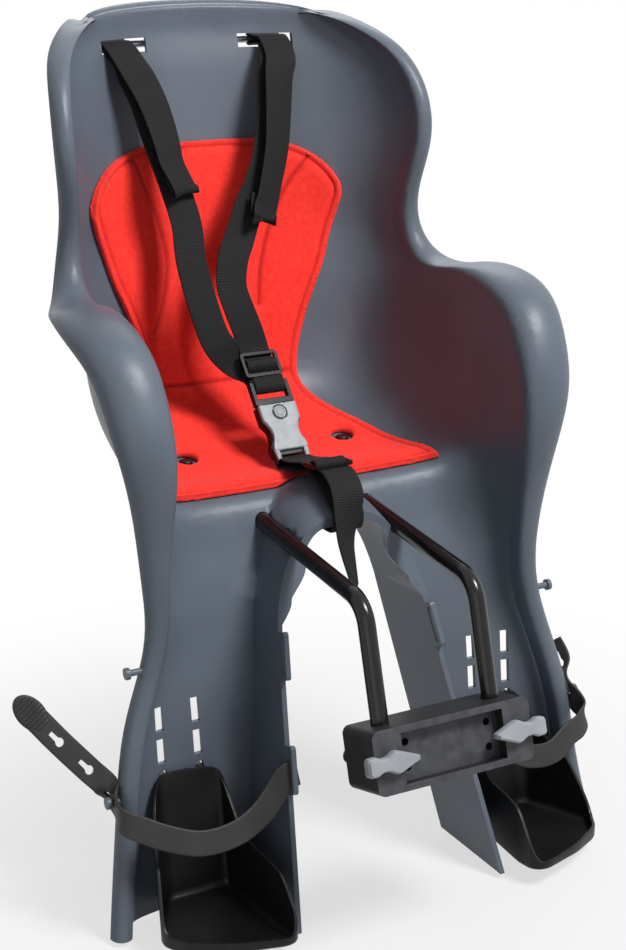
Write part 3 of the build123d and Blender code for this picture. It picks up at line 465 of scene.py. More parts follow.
def smooth_path(points, step, samples=60):
    """Even points on a cubic Hermite curve through the given ones, with centripetal spacing between them.

    The first three columns are a place. Any further columns are carried along with it."""
    points = np.asarray(points, dtype=float)
    gaps = np.linalg.norm(np.diff(points[:, :3], axis=0), axis=1)
    knots = np.concatenate([[0], np.cumsum(np.sqrt(gaps))])
    slope = np.gradient(points, knots, axis=0)
    fine = np.linspace(0, knots[-1], samples * len(points))
    low = np.clip(np.searchsorted(knots, fine, side="right") - 1, 0, len(points) - 2)
    span = (knots[low + 1] - knots[low])[:, None]
    share = ((fine - knots[low])[:, None]) / span
    curve = (
        (2 * share**3 - 3 * share**2 + 1) * points[low]
        + (share**3 - 2 * share**2 + share) * span * slope[low]
        + (3 * share**2 - 2 * share**3) * points[low + 1]
        + (share**3 - share**2) * span * slope[low + 1]
    )
    run = np.concatenate([[0], np.cumsum(np.linalg.norm(np.diff(curve[:, :3], axis=0), axis=1))])
    even = np.linspace(0, run[-1], max(int(run[-1] / step), 2))
    return np.stack([np.interp(even, run, column) for column in curve.T], axis=1), even


def tube_faces(rows, columns, ends=True):
    """Quads of a grid that is closed round its columns, with flat ends or joined end to end."""
    row, column = np.meshgrid(np.arange(rows - 1 if ends else rows), np.arange(columns), indexing="ij")
    start = row * columns
    after = (row + 1) % rows * columns
    following = (column + 1) % columns
    quads = np.stack([start + column, start + following, after + following, after + column], -1)
    faces = quads.reshape(-1, 4).tolist()
    if ends:
        faces.append(list(range(columns))[::-1])
        faces.append(list(range((rows - 1) * columns, rows * columns)))
    return faces


def band_profile(width, thickness, round_points=7, flat_points=15):
    """Cross-section of a band: two flats joined by half rounds, as across and through coordinates."""
    half = (width - thickness) / 2
    turn = np.linspace(-np.pi / 2, np.pi / 2, round_points)
    flat = np.linspace(-half, half, flat_points)[1:-1]
    right = np.stack([half + thickness / 2 * np.cos(turn), thickness / 2 * np.sin(turn)], 1)
    top = np.stack([flat[::-1], np.full(flat.shape, thickness / 2)], 1)
    return np.concatenate([right, top, -right, -top])


def band(name, points, width, thickness, slot, level=(1, 0, 0), twist=(0, 1, 0), step=1.5):
    """Band along a smooth path in millimetres, whose fourth column turns it, in degrees.

    The profile is carried square to the path. Its width lies along the level direction, turned towards the
    twist direction by the angle of that place: level times cosine plus twist times sine."""
    points = np.asarray(points, dtype=float)
    if points.shape[1] == 3:
        points = np.column_stack([points, np.zeros(len(points))])
    path, along = smooth_path(points, step)
    turn = np.radians(path[:, 3:])
    path = path[:, :3]
    tangent = np.gradient(path, axis=0)
    tangent /= np.linalg.norm(tangent, axis=1, keepdims=True)
    side = np.asarray(level) * np.cos(turn) + np.asarray(twist) * np.sin(turn)
    side = side - tangent * np.sum(side * tangent, axis=1, keepdims=True)
    side /= np.linalg.norm(side, axis=1, keepdims=True)
    face = np.cross(tangent, side)
    profile = band_profile(width, thickness)
    grid = path[:, None] + side[:, None] * profile[None, :, :1] + face[:, None] * profile[None, :, 1:]
    vertex_map = np.stack(np.broadcast_arrays(along[:, None], profile[None, :, 0]), -1)
    faces = tube_faces(len(path), len(profile))
    return mesh_object(name, grid.reshape(-1, 3) * MM, faces, slot, vertex_map.reshape(-1, 2))


def unit_circle(count):
    """Even points on a circle of radius 1, counter-clockwise."""
    turn = np.linspace(0, 2 * np.pi, count, endpoint=False)
    return np.stack([np.cos(turn), np.sin(turn)], 1)


def counter_clockwise(corners):
    """The corners in counter-clockwise order, by the sign of the area inside them."""
    x, y = np.transpose(corners)
    area = x @ np.roll(y, -1) - y @ np.roll(x, -1)
    return corners if area > 0 else corners[::-1]


def rounded_outline(corners, window_mm, count=240, oversampling=4):
    """Closed outline with rounded corners: even points on the polygon, averaged over a sliding window."""
    corners = np.asarray(corners, dtype=float)
    ring = np.concatenate([corners, corners[:1]])
    run = np.concatenate([[0], np.cumsum(np.linalg.norm(np.diff(ring, axis=0), axis=1))])
    even = np.linspace(0, run[-1], oversampling * count, endpoint=False)
    dense = np.stack([np.interp(even, run, ring[:, axis]) for axis in (0, 1)], 1)
    half = max(int(window_mm / run[-1] * oversampling * count / 2), 1)
    smooth = np.mean([np.roll(dense, shift, axis=0) for shift in range(-half, half + 1)], axis=0)
    return smooth[::oversampling]


def outward(outline):
    """Unit directions square to a closed counter-clockwise outline, pointing out of it."""
    along = np.roll(outline, -1, axis=0) - np.roll(outline, 1, axis=0)
    across = np.stack([along[:, 1], -along[:, 0]], 1)
    return across / np.linalg.norm(across, axis=1, keepdims=True)


def raised(flat, heights):
    """Vertices of a grid of flat places, with one height for each of its rows."""
    rise = np.broadcast_to(np.asarray(heights)[:, None, None], flat.shape[:2] + (1,))
    return np.concatenate([flat, rise], -1).reshape(-1, 3)


def plate(outline, rows):
    """Closed plate in its own plane: the outline at each row's height, drawn in by the row's inset."""
    inset, heights = np.asarray(rows, dtype=float).T
    flat = outline[None] - outward(outline)[None] * inset[:, None, None]
    return raised(flat, heights), tube_faces(len(rows), len(outline))


def round_edge(low, high, radius, steps=4):
    """Rows of a plate with a quarter round at its upper edge: inset and height."""
    turn = np.linspace(0, np.pi / 2, steps + 1)
    arc = np.stack([radius * (1 - np.cos(turn)), high - radius + radius * np.sin(turn)], 1)
    return np.concatenate([[[0, low]], arc])


def turned(profile, centre, count=72):
    """Surface of revolution about the outward direction: radius and height pairs round a centre."""
    radius, heights = np.asarray(profile, dtype=float).T
    flat = unit_circle(count)[None] * radius[:, None, None] + centre
    return raised(flat, heights), tube_faces(len(profile), count)


def joined(*shapes):
    """One set of vertices and faces from several."""
    starts = np.cumsum([0] + [len(vertices) for vertices, _ in shapes])
    faces = [[int(start) + i for i in face] for start, shape in zip(starts, shapes) for face in shape[1]]
    return np.concatenate([vertices for vertices, _ in shapes]), faces


def tilted(local, place, tilt):
    """Local across, up and out coordinates in a plane that leans back by tilt, in the frame."""
    local = np.asarray(local, dtype=float)
    up = np.array([0, np.cos(tilt), np.sin(tilt)])
    out = np.array([0, -np.sin(tilt), np.cos(tilt)])
    return np.asarray(place) + local[:, :1] * (1, 0, 0) + local[:, 1:2] * up + local[:, 2:] * out


def on_buckle(local):
    """Places in the buckle's plane, in millimetres of the frame."""
    return tilted(local, BUCKLE_PLACE, BUCKLE_TILT)


def on_block(local):
    """Places on the clamp block's front face, in millimetres of the frame."""
    return tilted(local, (0, 0, 0), np.pi / 2 - BLOCK_LEAN)


def smooth_step(low, high, value):
    """Goes from 0 at low to 1 at high, level at both ends."""
    share = np.clip((value - low) / (high - low), 0, 1)
    return share * share * (3 - 2 * share)


def bell(distance, width):
    """Bell curve: 1 at no distance, falling off with the square of the distance over the width."""
    return np.exp(-((distance / width) ** 2))


# Webbing. A strap's way round the bar behind the shell, and through a slider, is the CAD model's own.
bar_way = [(-19, 2.8), (-7, 3.2), (0, 4.5), (4.3, 2.2), (4.3, -2.2), (0, -4.5), (-7, -3.2), (-18, -2.8)]
threading = [(15, -2.9), (7.2, -2.9), (2.3, 2.9), (-2.3, 2.9), (-7.2, -2.9), (-12, -2.9)]
tongue_way = [(38, -4.2), (33, -4.2), (30, -2.1), (29, 0), (30, 2.1), (33, 4.2), (41, 4.2)]
buckle_loop = [(-34.9, -0.5), (-33.9, -3.4), (-29.5, -3.4), (-28.2, 0.2), (-30.2, 3.9)]


def centred(pairs, up=0):
    """Up and out pairs as places on the middle line of a plane, moved up."""
    return [(0, up + y, z) for y, z in pairs]


def level_points(points):
    """Points with no turn."""
    return [(*point, 0) for point in np.asarray(points).tolist()]


def round_bar(x):
    """Way of a shoulder strap through the slot, over the bar and back under it."""
    return [(x, BAR_Y + y, SLOT_Z + z, 0) for y, z in bar_way]


def web(name, way, node):
    """Webbing along a way, in place of a strap of the CAD model."""
    made = band(name, way, WEB_WIDTH, WEB_THICKNESS, "webbing")
    finish_piece(made, "webbing", "seat", node)


# Each shoulder strap starts at its end's sewn fold, goes up in front to the slot, and comes down behind.
left_way = [
    (-45.5, 350.2, 357, 25),
    (-42.4, 346, 347, 25),
    (-41.2, 343.6, 343, 25),
    (-41.4, 341.4, 345, 25),
    (-44.6, 345.2, 355, 25),
    (-48.2, 351.6, 366.5, 22),
    (-49.5, 357.9, 381.5, 16),
    (-53, 367.2, 404, 8),
    (-58, 374.4, 421.5, 4),
    (-65.5, 383, 439, 0),
]
left_way += round_bar(LEFT_BAR_X)
left_way += [
    (-66, 392, 441, 0),
    (-63.3, 388, 430, 0),
    (-57.5, 379.6, 410.8, 0),
    (-53.2, 370, 386.6, 0),
    (-49.4, 362.1, 367.6, 0),
    (-44.8, 352.6, 344.7, 0),
    (-41.2, 341.6, 318.2, 0),
    (-43, 330.2, 290.7, 0),
    (-38.2, 316, 252, 0),
    (-31, 309, 227.2, 0),
]
left_way += level_points(on_buckle([(-14, 60, -9), (-3, 48, -8.4), (0, 36, -7.2)]))
web("shoulder_web_left", left_way, "shoulder_strap_left")

right_way = [
    (28, 343.2, 334, 24),
    (23.6, 337.2, 323, 26),
    (21.6, 333.8, 317.6, 26),
    (21.2, 331.2, 319.4, 26),
    (28.1, 336.6, 330, 26),
    (36.9, 344.5, 349.3, 26),
    (46.6, 354.1, 372.4, 22),
    (54, 365.1, 399, 16),
    (61, 377, 429, 8),
    (66, 384, 441, 0),
]
right_way += round_bar(RIGHT_BAR_X)
right_way += [
    (64, 391, 440, 0),
    (58.5, 385, 422.6, 4),
    (52, 374.7, 398, 8),
    (39.7, 360.3, 363.2, 8),
    (27.9, 352, 343.3, 8),
    (14.8, 344.5, 325, 6),
    (3.5, 336.7, 306, 4),
    (-7, 329, 289, 0),
    (-12, 321.6, 269.8, 0),
    (-9.5, 315.5, 254, 0),
    (-4.5, 311, 237, 0),
]
right_way += level_points(on_buckle(centred(threading, SHOULDER_SLIDER_UP) + centred(tongue_way)))
web("shoulder_web_right", right_way, "shoulder_strap_right")

# The crotch strap loops through the buckle, runs through its slider and over the arch, and its tail twists.
crotch_way = [(0, 216, 143.8, 0), (0, 230, 141.6, 0)]
crotch_way += level_points(on_buckle(centred(buckle_loop)))
crotch_way += [(0, 230, 148, 0), (0, 218, 150.5, 0), (0, 204, 154, 0)]
crotch_way += level_points(tilted(centred(threading), CROTCH_SLIDER_PLACE, CROTCH_SLIDER_TILT))
crotch_way += [
    (0, 160, 150, 0),
    (-1, 152, 141, 0),
    (-3, 148.5, 127, 12),
    (-4.5, 147.5, 113, 29),
    (-3.5, 147, 100, 40),
    (-0.5, 146, 84, 48),
    (2, 144, 68, 54),
]
web("crotch_web", crotch_way, "crotch_strap")

anchor_way = [(196, 149), (185, 148), (170, 139.5), (158, 131.5), (153.2, 127), (153, 118), (155.5, 113.2)]
anchor_way += [(163, 112), (180, 112.5), (205, 113.8), (215, 113.8), (218.5, 115.5), (219.2, 118)]
anchor_way += [(218.5, 120.6), (215, 122.2), (198, 119.5)]
web("anchor_web", centred(anchor_way), "crotch_anchor")

# Shell, shaded as one skin, and the black frames of the buckle and the sliders, with rounded edges.
shell_skin = merged_copy("shell_skin", "seat_shell", "shell")
finish_piece(sharp_over(shell_skin, degrees=32), "shell", "seat", "seat_shell")

for name, node, edge_mm in (
    ("buckle_base", "buckle_back", 0.5),
    ("tongue_frame", "buckle_tongue", 0.8),
    ("shoulder_ladder", "shoulder_slider", 0.7),
    ("crotch_ladder", "crotch_slider", 0.7),
):
    rounded_copy(name, node, "buckle", "seat", edge_mm)


def block_body():
    """Clamp block with rounded edges, whose faces turned to the front are paler: painted sheen."""
    made = rounded_copy("block_body", "clamp_block", "block", "block", BLOCK_EDGE)
    made.data.materials.append(finishes["block_face_sheen"])
    normal = np.empty(3 * len(made.data.polygons))
    made.data.polygons.foreach_get("normal", normal)
    out = np.array([0, -np.cos(BLOCK_LEAN), np.sin(BLOCK_LEAN)])
    # Painted sheen: the faces turned to the front get the paler finish.
    front = normal.reshape(-1, 3) @ out > FRONT_FACING
    made.data.polygons.foreach_set("material_index", front.astype(np.int32))


def lever(side, name):
    """Locking lever: a faceted arrow with a waist, on a round shaft through the block."""
    upper = [(-27, 1.7), (-10, 8.2), (-7, 8), (-1.5, 5), (3.5, 4.8), (7.5, 7), (13.5, 6.6), (15, 4.5)]
    lower = [(x, -y) for x, y in reversed(upper)]
    rows = [(0.4, 0.3), (0, 0.8), (0, 5.4), (0.2, 5.8), (1.5, 8.1)]
    middle = (side * LEVER_X, 0)
    corners = np.array(upper + lower) * (side, 1)
    arrow = plate(rounded_outline(counter_clockwise(corners), LEVER_CORNER) + middle, rows)
    shaft_rows = [(0, -BLOCK_DEPTH - LEVER_SHAFT_PAST_BLOCK), (0, 0.5)]
    shaft = plate(LEVER_SHAFT_RADIUS * unit_circle(48) + middle, shaft_rows)
    vertices, faces = joined(arrow, shaft)
    made = mesh_object(f"lever_arrow_{name}", on_block(vertices) * MM, faces, "lever")
    finish_piece(sharp_over(made, degrees=40), "lever", f"lever_{name}", f"lever_{name}")


block_body()
lever(-1, "left")
lever(1, "right")


def cover_plate():
    """Waisted plate round the button's hole, as rays from the hole's middle.

    Each row is a share of the way from the hole to the outline, less an inset, at a height. The rows go up
    the outside, over the top and down the hole, and the underside closes them."""
    half = [(16.6, 17), (16.4, 3.5), (14.2, 0), (12.2, -4.5), (11.6, -9), (12.2, -13.5), (14.2, -18)]
    half += [(15, -21), (14.6, -23)]
    corners = np.array([(-x, y) for x, y in half] + half[::-1])
    outline = rounded_outline(corners, COVER_CORNER, 600) - (0, BUTTON_UP)
    angle = np.arctan2(outline[:, 1], outline[:, 0])
    order = np.argsort(angle)
    turn = np.linspace(-np.pi, np.pi, 200, endpoint=False)
    reach = np.interp(turn, angle[order], np.hypot(*outline.T)[order], period=2 * np.pi)
    ray = np.stack([np.cos(turn), np.sin(turn)], 1)
    rows = [(1, 0, COVER_FOOT), (1, 0, 4.1), (1, 0.3, 4.9), (1, 1.1, 5.4), (0.7, 0, 5.5), (0.35, 0, 5.5)]
    rows += [(0, -0.4, 5.3), (0, 0, 4.7), (0, 0, COVER_FOOT)]
    share, inset, heights = np.array(rows).T
    radius = BUTTON_HOLE_RADIUS + (reach - BUTTON_HOLE_RADIUS) * share[:, None] - inset[:, None]
    flat = ray * radius[..., None] + (0, BUTTON_UP)
    return raised(flat, heights), tube_faces(len(rows), len(turn), ends=False)


def cover_leg(side):
    """Leg of the buckle's cover beside the window, with a rounded upper edge."""
    corners = np.array([(10.4, -30.5), (14, -30.5), (14.8, -21), (10.4, -21)]) * (side, 1)
    outline = rounded_outline(counter_clockwise(corners), COVER_LEG_CORNER)
    return plate(outline, round_edge(COVER_FOOT, COVER_LEG_TOP, COVER_LEG_EDGE))


def buckle_cover():
    """Grey front of the buckle: its waisted plate and two legs."""
    vertices, faces = joined(cover_plate(), cover_leg(-1), cover_leg(1))
    made = mesh_object("buckle_cover", on_buckle(vertices) * MM, faces, "buckle_face")
    finish_piece(sharp_over(made, degrees=45), "buckle_face", "seat", "buckle_front")


def press_button():
    """Button with a flange below, a ring groove in its top and a slightly domed middle."""
    profile = [(6.4, 0.7), (6.4, 2.0), (5.4, 2.1), (5.4, 5.6), (5.1, 6.1), (4.5, 6.3), (4.0, 6.25)]
    profile += [(3.8, 5.8), (3.4, 5.8), (3.2, 6.25), (2.4, 6.5), (1.2, 6.65), (0.3, 6.7)]
    vertices, faces = turned(profile, (0, BUTTON_UP))
    made = mesh_object("press_button", on_buckle(vertices) * MM, faces, "buckle_face")
    finish_piece(sharp_over(made, degrees=45), "buckle_face", "button", "buckle_button")


buckle_cover()
press_button()

# The real spring shortens as the button goes in; the button fills about half of the room above its floor.
# Here the spring is a shaded copy of the CAD one, with a mesh of its own.
press_spring = merged_copy("press_spring", "button_spring", "steel")
finish_piece(sharp_over(press_spring, degrees=60), "steel", "seat", "button_spring")
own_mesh(press_spring)

# Footrests: the plan of the right one, and its rim and its sole as Y and Z from the side.
foot_plan = [(101, 42), (111, 35), (150, 48), (180, 65), (191, 89), (179, 128), (170, 148), (163, 156.5)]
foot_plan += [(108, 156.5)]
foot_edge = [(30, -136), (37, -130), (51, -115), (66, -106), (85, -103), (112, -102), (133, -92)]
foot_edge += [(150, -70), (157, -52)]
foot_sole = [(20, -146), (44, -149), (62, -152), (157, -152)]


def sole_height(y):
    """Height of a footrest's underside."""
    return np.interp(y, *np.transpose(foot_sole))


def rim_height(x, y):
    """Height of a footrest's rim: the lowest of its edge, a slope up from the lip, and the plate's top.

    The plate's top rises outwards, and falls away on its inner side as a quarter round."""
    edge = np.interp(y, *np.transpose(foot_edge))
    run = (FOOT_LIP[1] - FOOT_LIP[0]) / np.linalg.norm(FOOT_LIP[1] - FOOT_LIP[0])
    behind = (y - FOOT_LIP[0, 1]) * run[0] - (x - FOOT_LIP[0, 0]) * run[1]
    slope = FOOT_LIP_Z + np.maximum(behind, 0) * np.tan(FOOT_LIP_RISE)
    corner = np.clip((FOOT_TOP_X + FOOT_TOP_CORNER - x) / FOOT_TOP_CORNER, 0, 1)
    fall = FOOT_TOP_CORNER * (1 - np.sqrt(1 - corner**2))
    top = FOOT_TOP_Z + (x - FOOT_TOP_X) * FOOT_TOP_SLOPE - fall
    return np.minimum(np.minimum(edge, slope), top)


def drawn_in(ring, shares, lift):
    """Rows of a ring shrunk towards its middle to the given shares, laid on the sole raised by lift."""
    middle = ring.mean(axis=0)
    rows = np.stack([share * ring + (1 - share) * middle for share in shares])
    rows[..., 2] = sole_height(rows[..., 1]) + lift
    return rows


def scoop_body():
    """Scoop of the right footrest: the plan's outline carried up from the sole, over the rim and inside.

    Each row is the outline drawn in by an inset, at a height between the sole and the rim. The back leans
    with the leg: it moves forwards by the height below its top times the lean."""
    outline = rounded_outline(foot_plan, FOOT_CORNER, 300)
    rim = rim_height(*outline.T)
    rim = np.mean([np.roll(rim, shift) for shift in range(-4, 5)], axis=0)
    sole = sole_height(outline[:, 1])
    floor = sole + FOOT_WALL
    rows = [
        (3, sole),
        (0.9, sole + 0.8),
        (0, sole + 2.6),
        (0, rim - 0.9),
        (0.3, rim - 0.2),
        (FOOT_WALL / 2, rim),
        (FOOT_WALL - 0.3, rim - 0.2),
        (FOOT_WALL, rim - 0.9),
        (FOOT_WALL, np.minimum(floor + 5, (floor + rim) / 2)),
        (FOOT_WALL + 1.3, np.minimum(floor + 1.5, (floor * 3 + rim) / 4)),
        (FOOT_WALL + 4, floor),
    ]
    out = outward(outline)
    grid = np.stack([np.column_stack([outline - out * inset, height]) for inset, height in rows])
    underside = drawn_in(grid[0], (0.3, 0.7), 0)
    bottom = drawn_in(grid[-1], (0.7, 0.3), FOOT_WALL)
    grid = np.concatenate([underside, grid, bottom])
    leaning = smooth_step(LEAN_FROM_Y, LEAN_FULL_Y, grid[..., 1])
    grid[..., 1] += (grid[..., 2] - LEAN_TOP_Z) * LEG_LEAN * leaning
    return grid.reshape(-1, 3), tube_faces(len(grid), len(outline))


def scoop_hooks():
    """Hooks of the right footrest: an outline seen from the side, as wide as its rows, at each leg slot."""
    corners = [(-6.5, -7), (6, -7), (6, -12), (9, -12), (9, 7), (-6.5, 7)]
    rows = [(0.5, -2.8), (0, -2.3), (0, 2.3), (0.5, 2.8)]
    hooks = []
    for z in HOOK_Z:
        outline = rounded_outline(corners, HOOK_CORNER) + (LEG_BACK_Y + z * LEG_LEAN, z)
        shape, faces = plate(outline, rows)
        hooks += [(shape[:, [2, 0, 1]] + (x, 0, 0), faces) for x in HOOK_X]
    return hooks


def scoop(side, name):
    """Footrest: the scoop with its hooks, mirrored for the left side."""
    vertices, faces = joined(scoop_body(), *scoop_hooks())
    if side < 0:
        vertices = vertices * (-1, 1, 1)
        faces = [face[::-1] for face in faces]
    made = mesh_object(f"foot_scoop_{name}", vertices * MM, faces, "footrest")
    finish_piece(sharp_over(made, degrees=45), "footrest", "seat", f"footrest_{name}")


scoop(-1, "left")
scoop(1, "right")

# Foot straps, from the loop of the inner leg wall to the knob and on. The left one's points are mirrored.
strap_start = [(71, 102.2, -49), (80, 102.2, -50), (89, 100.5, -59)]
left_strap = [(103, 97, -71), (125, 93, -80), (153, 94, -82), (176, 102, -76)]
left_strap += [(192, 110, -69), (203, 120, -64)]
left_tail = [(204, 147, -48), (215, 153, -34.5), (233, 163, -12.5), (250, 173, 10)]
right_strap = [(108, 101, -68), (136, 99, -84), (160, 100, -86), (180, 105, -77)]
right_strap += [(195, 111, -75), (204, 120, -70)]
right_tail = [(204, 152, -38), (200, 163, -22)]


def strap_axes(points, index):
    """Directions along, across and out of a foot strap at one of its points."""
    along = points[min(index + 1, len(points) - 1)] - points[index - 1]
    along /= np.linalg.norm(along)
    across = STRAP_LEVEL - along * (STRAP_LEVEL @ along)
    across /= np.linalg.norm(across)
    return np.stack([along, across, np.cross(along, across)])


def keyhole_cutter(points, index):
    """Keyhole through a foot strap: a round hole that runs out into a narrow slit towards the end."""
    turn = np.radians(np.linspace(35, 325, 40))
    hole = KEYHOLE_RADIUS * np.stack([np.cos(turn), np.sin(turn)], 1)
    corners = np.concatenate([hole, [(SLIT_END, -SLIT_HALF_WIDTH), (SLIT_END, SLIT_HALF_WIDTH)]])
    rows = [(0, -KEYHOLE_REACH), (0, KEYHOLE_REACH)]
    shape, faces = plate(rounded_outline(corners, KEYHOLE_CORNER, 80), rows)
    vertices = points[index] + shape @ strap_axes(points, index)
    return mesh_object("keyhole", vertices * MM, faces, "foot_strap")


def foot_strap(side, name, way, keyholes):
    """Rubber strap with keyholes at points counted back from its end, on the knob by one of them."""
    way = np.array(way, dtype=float) * (side, 1, 1)
    made = band(f"foot_band_{name}", way, STRAP_WIDTH, STRAP_THICKNESS, "foot_strap", STRAP_LEVEL, step=2)
    for index in keyholes:
        cut(made, keyhole_cutter(way, len(way) + index))
    finish_piece(sharp_over(made, degrees=50), "foot_strap", "seat", f"foot_strap_{name}")
    return way


def strap_grip(points, rings=30, columns=96):
    """Oval grip at a strap's end: a disc whose rounded thickness carries ribs across it, as a cosine.

    The thickness falls to the rim as the root of 1 less the eighth power of the share of the radius."""
    share = np.linspace(0.02, 1, rings)[:, None]
    flat = share[..., None] * unit_circle(columns) * GRIP_SIZE / 2
    rib = GRIP_RIB * np.cos(2 * np.pi * flat[..., 0] / GRIP_RIB_SPACING) * smooth_step(1, 0.85, share)
    height = GRIP_THICKNESS / 2 * np.sqrt(1 - share**8) + rib
    upper = np.concatenate([flat, height[..., None]], -1)
    grid = np.concatenate([upper[:-1] * (1, 1, -1), upper[::-1]])
    vertices = points[-1] + grid.reshape(-1, 3) @ strap_axes(points, len(points) - 1)
    made = mesh_object("strap_grip", vertices * MM, tube_faces(len(grid), columns), "foot_strap")
    finish_piece(made, "foot_strap", "seat")


left_foot_way = foot_strap(-1, "left", strap_start + left_strap + [KNOB] + left_tail, (-5, -3, -2))
foot_strap(1, "right", strap_start + right_strap + [KNOB] + right_tail, (-3, -2))
strap_grip(left_foot_way)

# Pad: pressed lines on its back, as X, Y and Z on its surface.
left_line = [(-66, 384, 368), (-62.8, 383.4, 359), (-47.6, 381.1, 315), (-42.6, 376.4, 281.6)]
left_line += [(-50.1, 369.6, 249.7), (-60, 366, 228)]
right_line = [(88, 374, 362), (84.8, 375.1, 358), (66.2, 379.4, 333), (51.4, 378.6, 302.7)]
right_line += [(40.2, 373.8, 265.6), (37, 369.6, 240)]


def nearest(points, targets, block_size=2000):
    """Distance from each point to the nearest target, worked out a block of points at a time."""
    blocks = np.array_split(points, max(len(points) // block_size, 1))
    return np.concatenate(
        [np.sqrt(np.min(np.sum((block[:, None] - targets[None]) ** 2, -1), axis=1)) for block in blocks]
    )


def rim_points(mesh, degrees=50):
    """Points about 1 mm apart along the edges where a solid's faces meet at more than an angle."""
    work = bmesh.new()
    work.from_mesh(mesh)
    bmesh.ops.remove_doubles(work, verts=work.verts, dist=MERGE_DISTANCE)
    sharp = [edge for edge in work.edges if edge.calc_face_angle(0) > np.radians(degrees)]
    ends = np.array([[vertex.co for vertex in edge.verts] for edge in sharp])
    work.free()
    count = np.maximum(np.ceil(np.linalg.norm(ends[:, 1] - ends[:, 0], axis=1) / MM).astype(int), 1)
    edge = np.repeat(np.arange(len(ends)), count)
    share = (np.arange(len(edge)) - np.repeat(np.cumsum(count) - count, count)) / count[edge]
    return (ends[edge, 0] * (1 - share[:, None]) + ends[edge, 1] * share[:, None]) / MM


def pressing(place):
    """Depth of the pressing at each place on the pad, and strength of its fine lines, which also sets
    painted shade.

    The depth is a border along the rim, a dip round each screw hole, and bell curves round the pressed lines
    and the fold. The lines are narrow bell curves along the same ways and a little inside the rim."""
    rim = rim_points(frame["nodes"]["seat_pad"].data)
    from_holes = np.linalg.norm(rim[:, None, :2] - PAD_HOLES[None], axis=-1)
    at_hole = np.min(from_holes, axis=1) < PAD_HOLE_REACH
    edge = nearest(place, rim[~at_hole])
    hole = nearest(place, rim[at_hole])
    line = RIM_LINE_STRENGTH * bell(edge - RIM_LINE_PLACE, RIM_LINE_WIDTH)
    depth = BORDER_DEPTH * (1 - smooth_step(BORDER_START, BORDER_END, edge))
    depth += HOLE_DIP * (1 - smooth_step(0, HOLE_DIP_REACH, hole))
    for points in (left_line, right_line):
        path, _ = smooth_path(points, 1.0)
        away = nearest(place[:, [0, 2]], path[:, [0, 2]])
        line = np.maximum(line, bell(away, LINE_WIDTH))
        depth += GROOVE_DEPTH * bell(away, GROOVE_WIDTH)
    fold = (place[:, 1] + place[:, 2] - FOLD_PLACE) / np.sqrt(2)
    fading = smooth_step(FOLD_FADE_START, FOLD_FADE_END, edge)
    line = np.maximum(line, bell(fold, FOLD_LINE_WIDTH) * fading)
    depth += FOLD_DEPTH * bell(fold, FOLD_WIDTH) * fading + LINE_DEPTH * line
    return depth, line


def fine_copy(name, node, slot):
    """Copy of a solid as small even faces, smoothed so that its edges turn softly."""
    made = linked(name, frame["nodes"][node].data.copy(), slot)
    remesh = made.modifiers.new("remesh", "REMESH")
    remesh.mode = "VOXEL"
    remesh.voxel_size = PAD_VOXEL * MM
    relax = made.modifiers.new("relax", "SMOOTH")
    relax.factor = 0.5
    relax.iterations = PAD_ROUNDS
    return applied(made)


def vertex_rows(mesh, name):
    """A property of three numbers of every vertex, as rows."""
    values = np.empty(3 * len(mesh.vertices))
    mesh.vertices.foreach_get(name, values)
    return values.reshape(-1, 3)


def foam_pad():
    """Pad: its solid with small even faces, whose upper side is pressed in against the normals."""
    made = fine_copy("foam_pad", "seat_pad", "pad")
    place = vertex_rows(made.data, "co") / MM
    normal = vertex_rows(made.data, "normal")
    depth, line = pressing(place)
    upper = smooth_step(UPPER_START, UPPER_FULL, normal @ PAD_UP)
    place = place - normal * (depth * upper)[:, None]
    # Painted shade along the pressed lines, the rim line and the fold, kept as the pad's attribute.
    pressed = made.data.attributes.new("pressed", "FLOAT", "POINT")
    pressed.data.foreach_set("value", (PAINTED_LINE_SHADE * line * upper).astype(np.float32))
    made.data.vertices.foreach_set("co", (place * MM).ravel())
    finish_piece(made, "pad", "seat", "seat_pad")


foam_pad()


def aimed(name, data, place, back):
    """Links an upright lamp or camera that looks against its back direction."""
    made = bpy.data.objects.new(name, data)
    back = np.asarray(back) / np.linalg.norm(back)
    right = np.cross((0, 0, 1), back)
    right /= np.linalg.norm(right)
    columns = np.array([right, np.cross(back, right), back, place]).T
    made.matrix_world = Matrix([*columns.tolist(), [0, 0, 0, 1]])
    bpy.context.collection.objects.link(made)
    return made


def photograph_camera():
    """Camera at the place worked out from the photograph, turned by the two angles."""
    turn, dip = CAMERA_TURN, CAMERA_DIP
    data = bpy.data.cameras.new("camera")
    data.lens = CAMERA_LENS_MM
    data.sensor_width = CAMERA_SENSOR_MM
    data.clip_start = 0.05
    data.clip_end = 50
    back = (-np.sin(turn) * np.cos(dip), -np.cos(turn) * np.cos(dip), np.sin(dip))
    bpy.context.scene.camera = aimed("camera", data, CAMERA_PLACE, back)


def soft_lamp(name, place, size, power):
    """Square area lamp that points at the seat."""
    data = bpy.data.lights.new(name, "AREA")
    data.size = size
    data.energy = power
    aimed(name, data, place, np.subtract(place, LAMP_AIM))


def seen_directly(tree):
    """1 for rays of the camera, of reflections and of clear materials, 0 for light that falls on things."""
    ray = add_node(tree, "ShaderNodeLightPath")
    seen = ray.outputs["Is Camera Ray"]
    for kind in ("Is Glossy Ray", "Is Transmission Ray"):
        larger = add_node(tree, "ShaderNodeMath", {"operation": "MAXIMUM"}, {0: seen, 1: ray.outputs[kind]})
        seen = larger.outputs[0]
    return seen


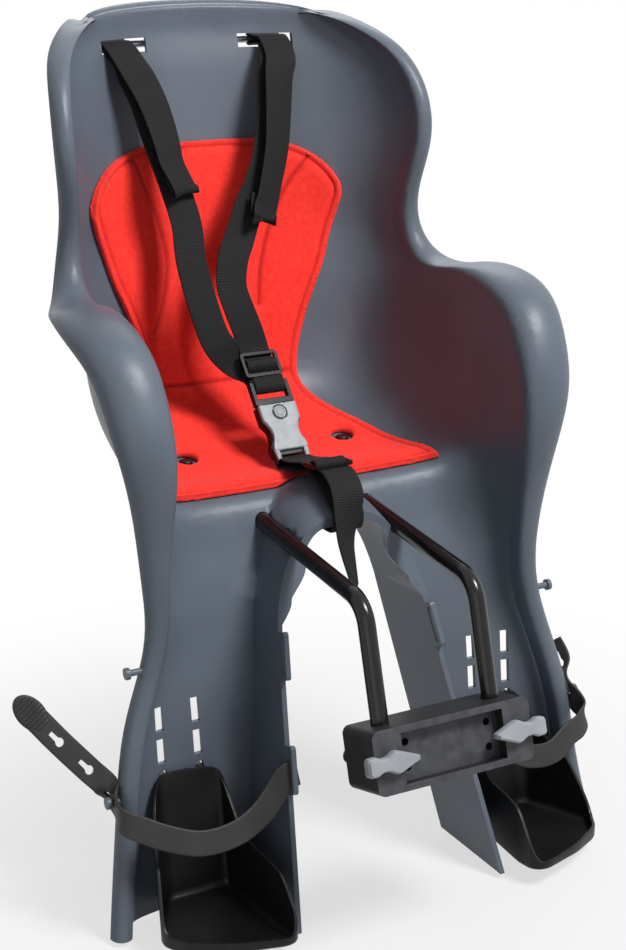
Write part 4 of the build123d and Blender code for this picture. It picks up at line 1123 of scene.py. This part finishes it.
def white_world():
    """World that lights the object softly and looks plain white."""
    world = bpy.data.worlds.new("studio")
    bpy.context.scene.world = world
    world.use_nodes = True
    tree = world.node_tree
    tree.nodes.clear()
    light = add_node(tree, "ShaderNodeBackground", inputs={"Color": (1, 1, 1, 1), "Strength": WORLD_LIGHT})
    white = add_node(tree, "ShaderNodeBackground", inputs={"Color": (1, 1, 1, 1), "Strength": 1.0})
    shown = add_node(
        tree,
        "ShaderNodeMixShader",
        inputs={0: seen_directly(tree), 1: light.outputs[0], 2: white.outputs[0]},
    )
    add_node(tree, "ShaderNodeOutputWorld", inputs={"Surface": shown.outputs[0]})


def pale_paint(height):
    """Matt pale paint that keeps the shadow near the object and is plain white further off.

    The share of white grows with the distance from the shadow's middle."""
    material, tree, shader = new_material(
        "pale floor", {"Base Color": (0.6, 0.6, 0.6, 1), "Roughness": 0.95}
    )
    place = add_node(tree, "ShaderNodeTexCoord")
    middle = add_node(
        tree,
        "ShaderNodeVectorMath",
        {"operation": "DISTANCE"},
        {0: place.outputs["Object"], 1: (*SHADOW_MIDDLE, height)},
    )
    near, far = SHADOW_REACH
    share = add_node(
        tree,
        "ShaderNodeMapRange",
        {"interpolation_type": "SMOOTHSTEP"},
        {"Value": middle.outputs["Value"], "From Min": near, "From Max": far, "To Min": SHADOW_WHITE},
    )
    white = add_node(tree, "ShaderNodeEmission", inputs={"Color": (1, 1, 1, 1), "Strength": 1.0})
    paler = add_node(
        tree,
        "ShaderNodeMixShader",
        inputs={0: share.outputs[0], 1: shader.outputs[0], 2: white.outputs[0]},
    )
    shown = add_node(
        tree,
        "ShaderNodeMixShader",
        inputs={0: seen_directly(tree), 1: shader.outputs[0], 2: paler.outputs[0]},
    )
    tree.links.new(shown.outputs[0], tree.nodes["Material Output"].inputs["Surface"])
    return material


def pale_floor():
    """Flat floor a little below the object."""
    height = float(cad_low[2] - FLOOR_GAP)
    corners = FLOOR_REACH * np.array([(-1, -1), (1, -1), (1, 1), (-1, 1)])
    mesh = bpy.data.meshes.new("floor")
    mesh.from_pydata(np.column_stack([corners, np.full(4, height)]).tolist(), [], [(0, 1, 2, 3)])
    mesh.materials.append(pale_paint(height))
    floor = bpy.data.objects.new("floor", mesh)
    bpy.context.collection.objects.link(floor)


photograph_camera()
white_world()
pale_floor()
for name, (place, size, power) in LAMPS.items():
    soft_lamp(name, place, size, power)
bpy.context.scene.view_settings.view_transform = "Standard"
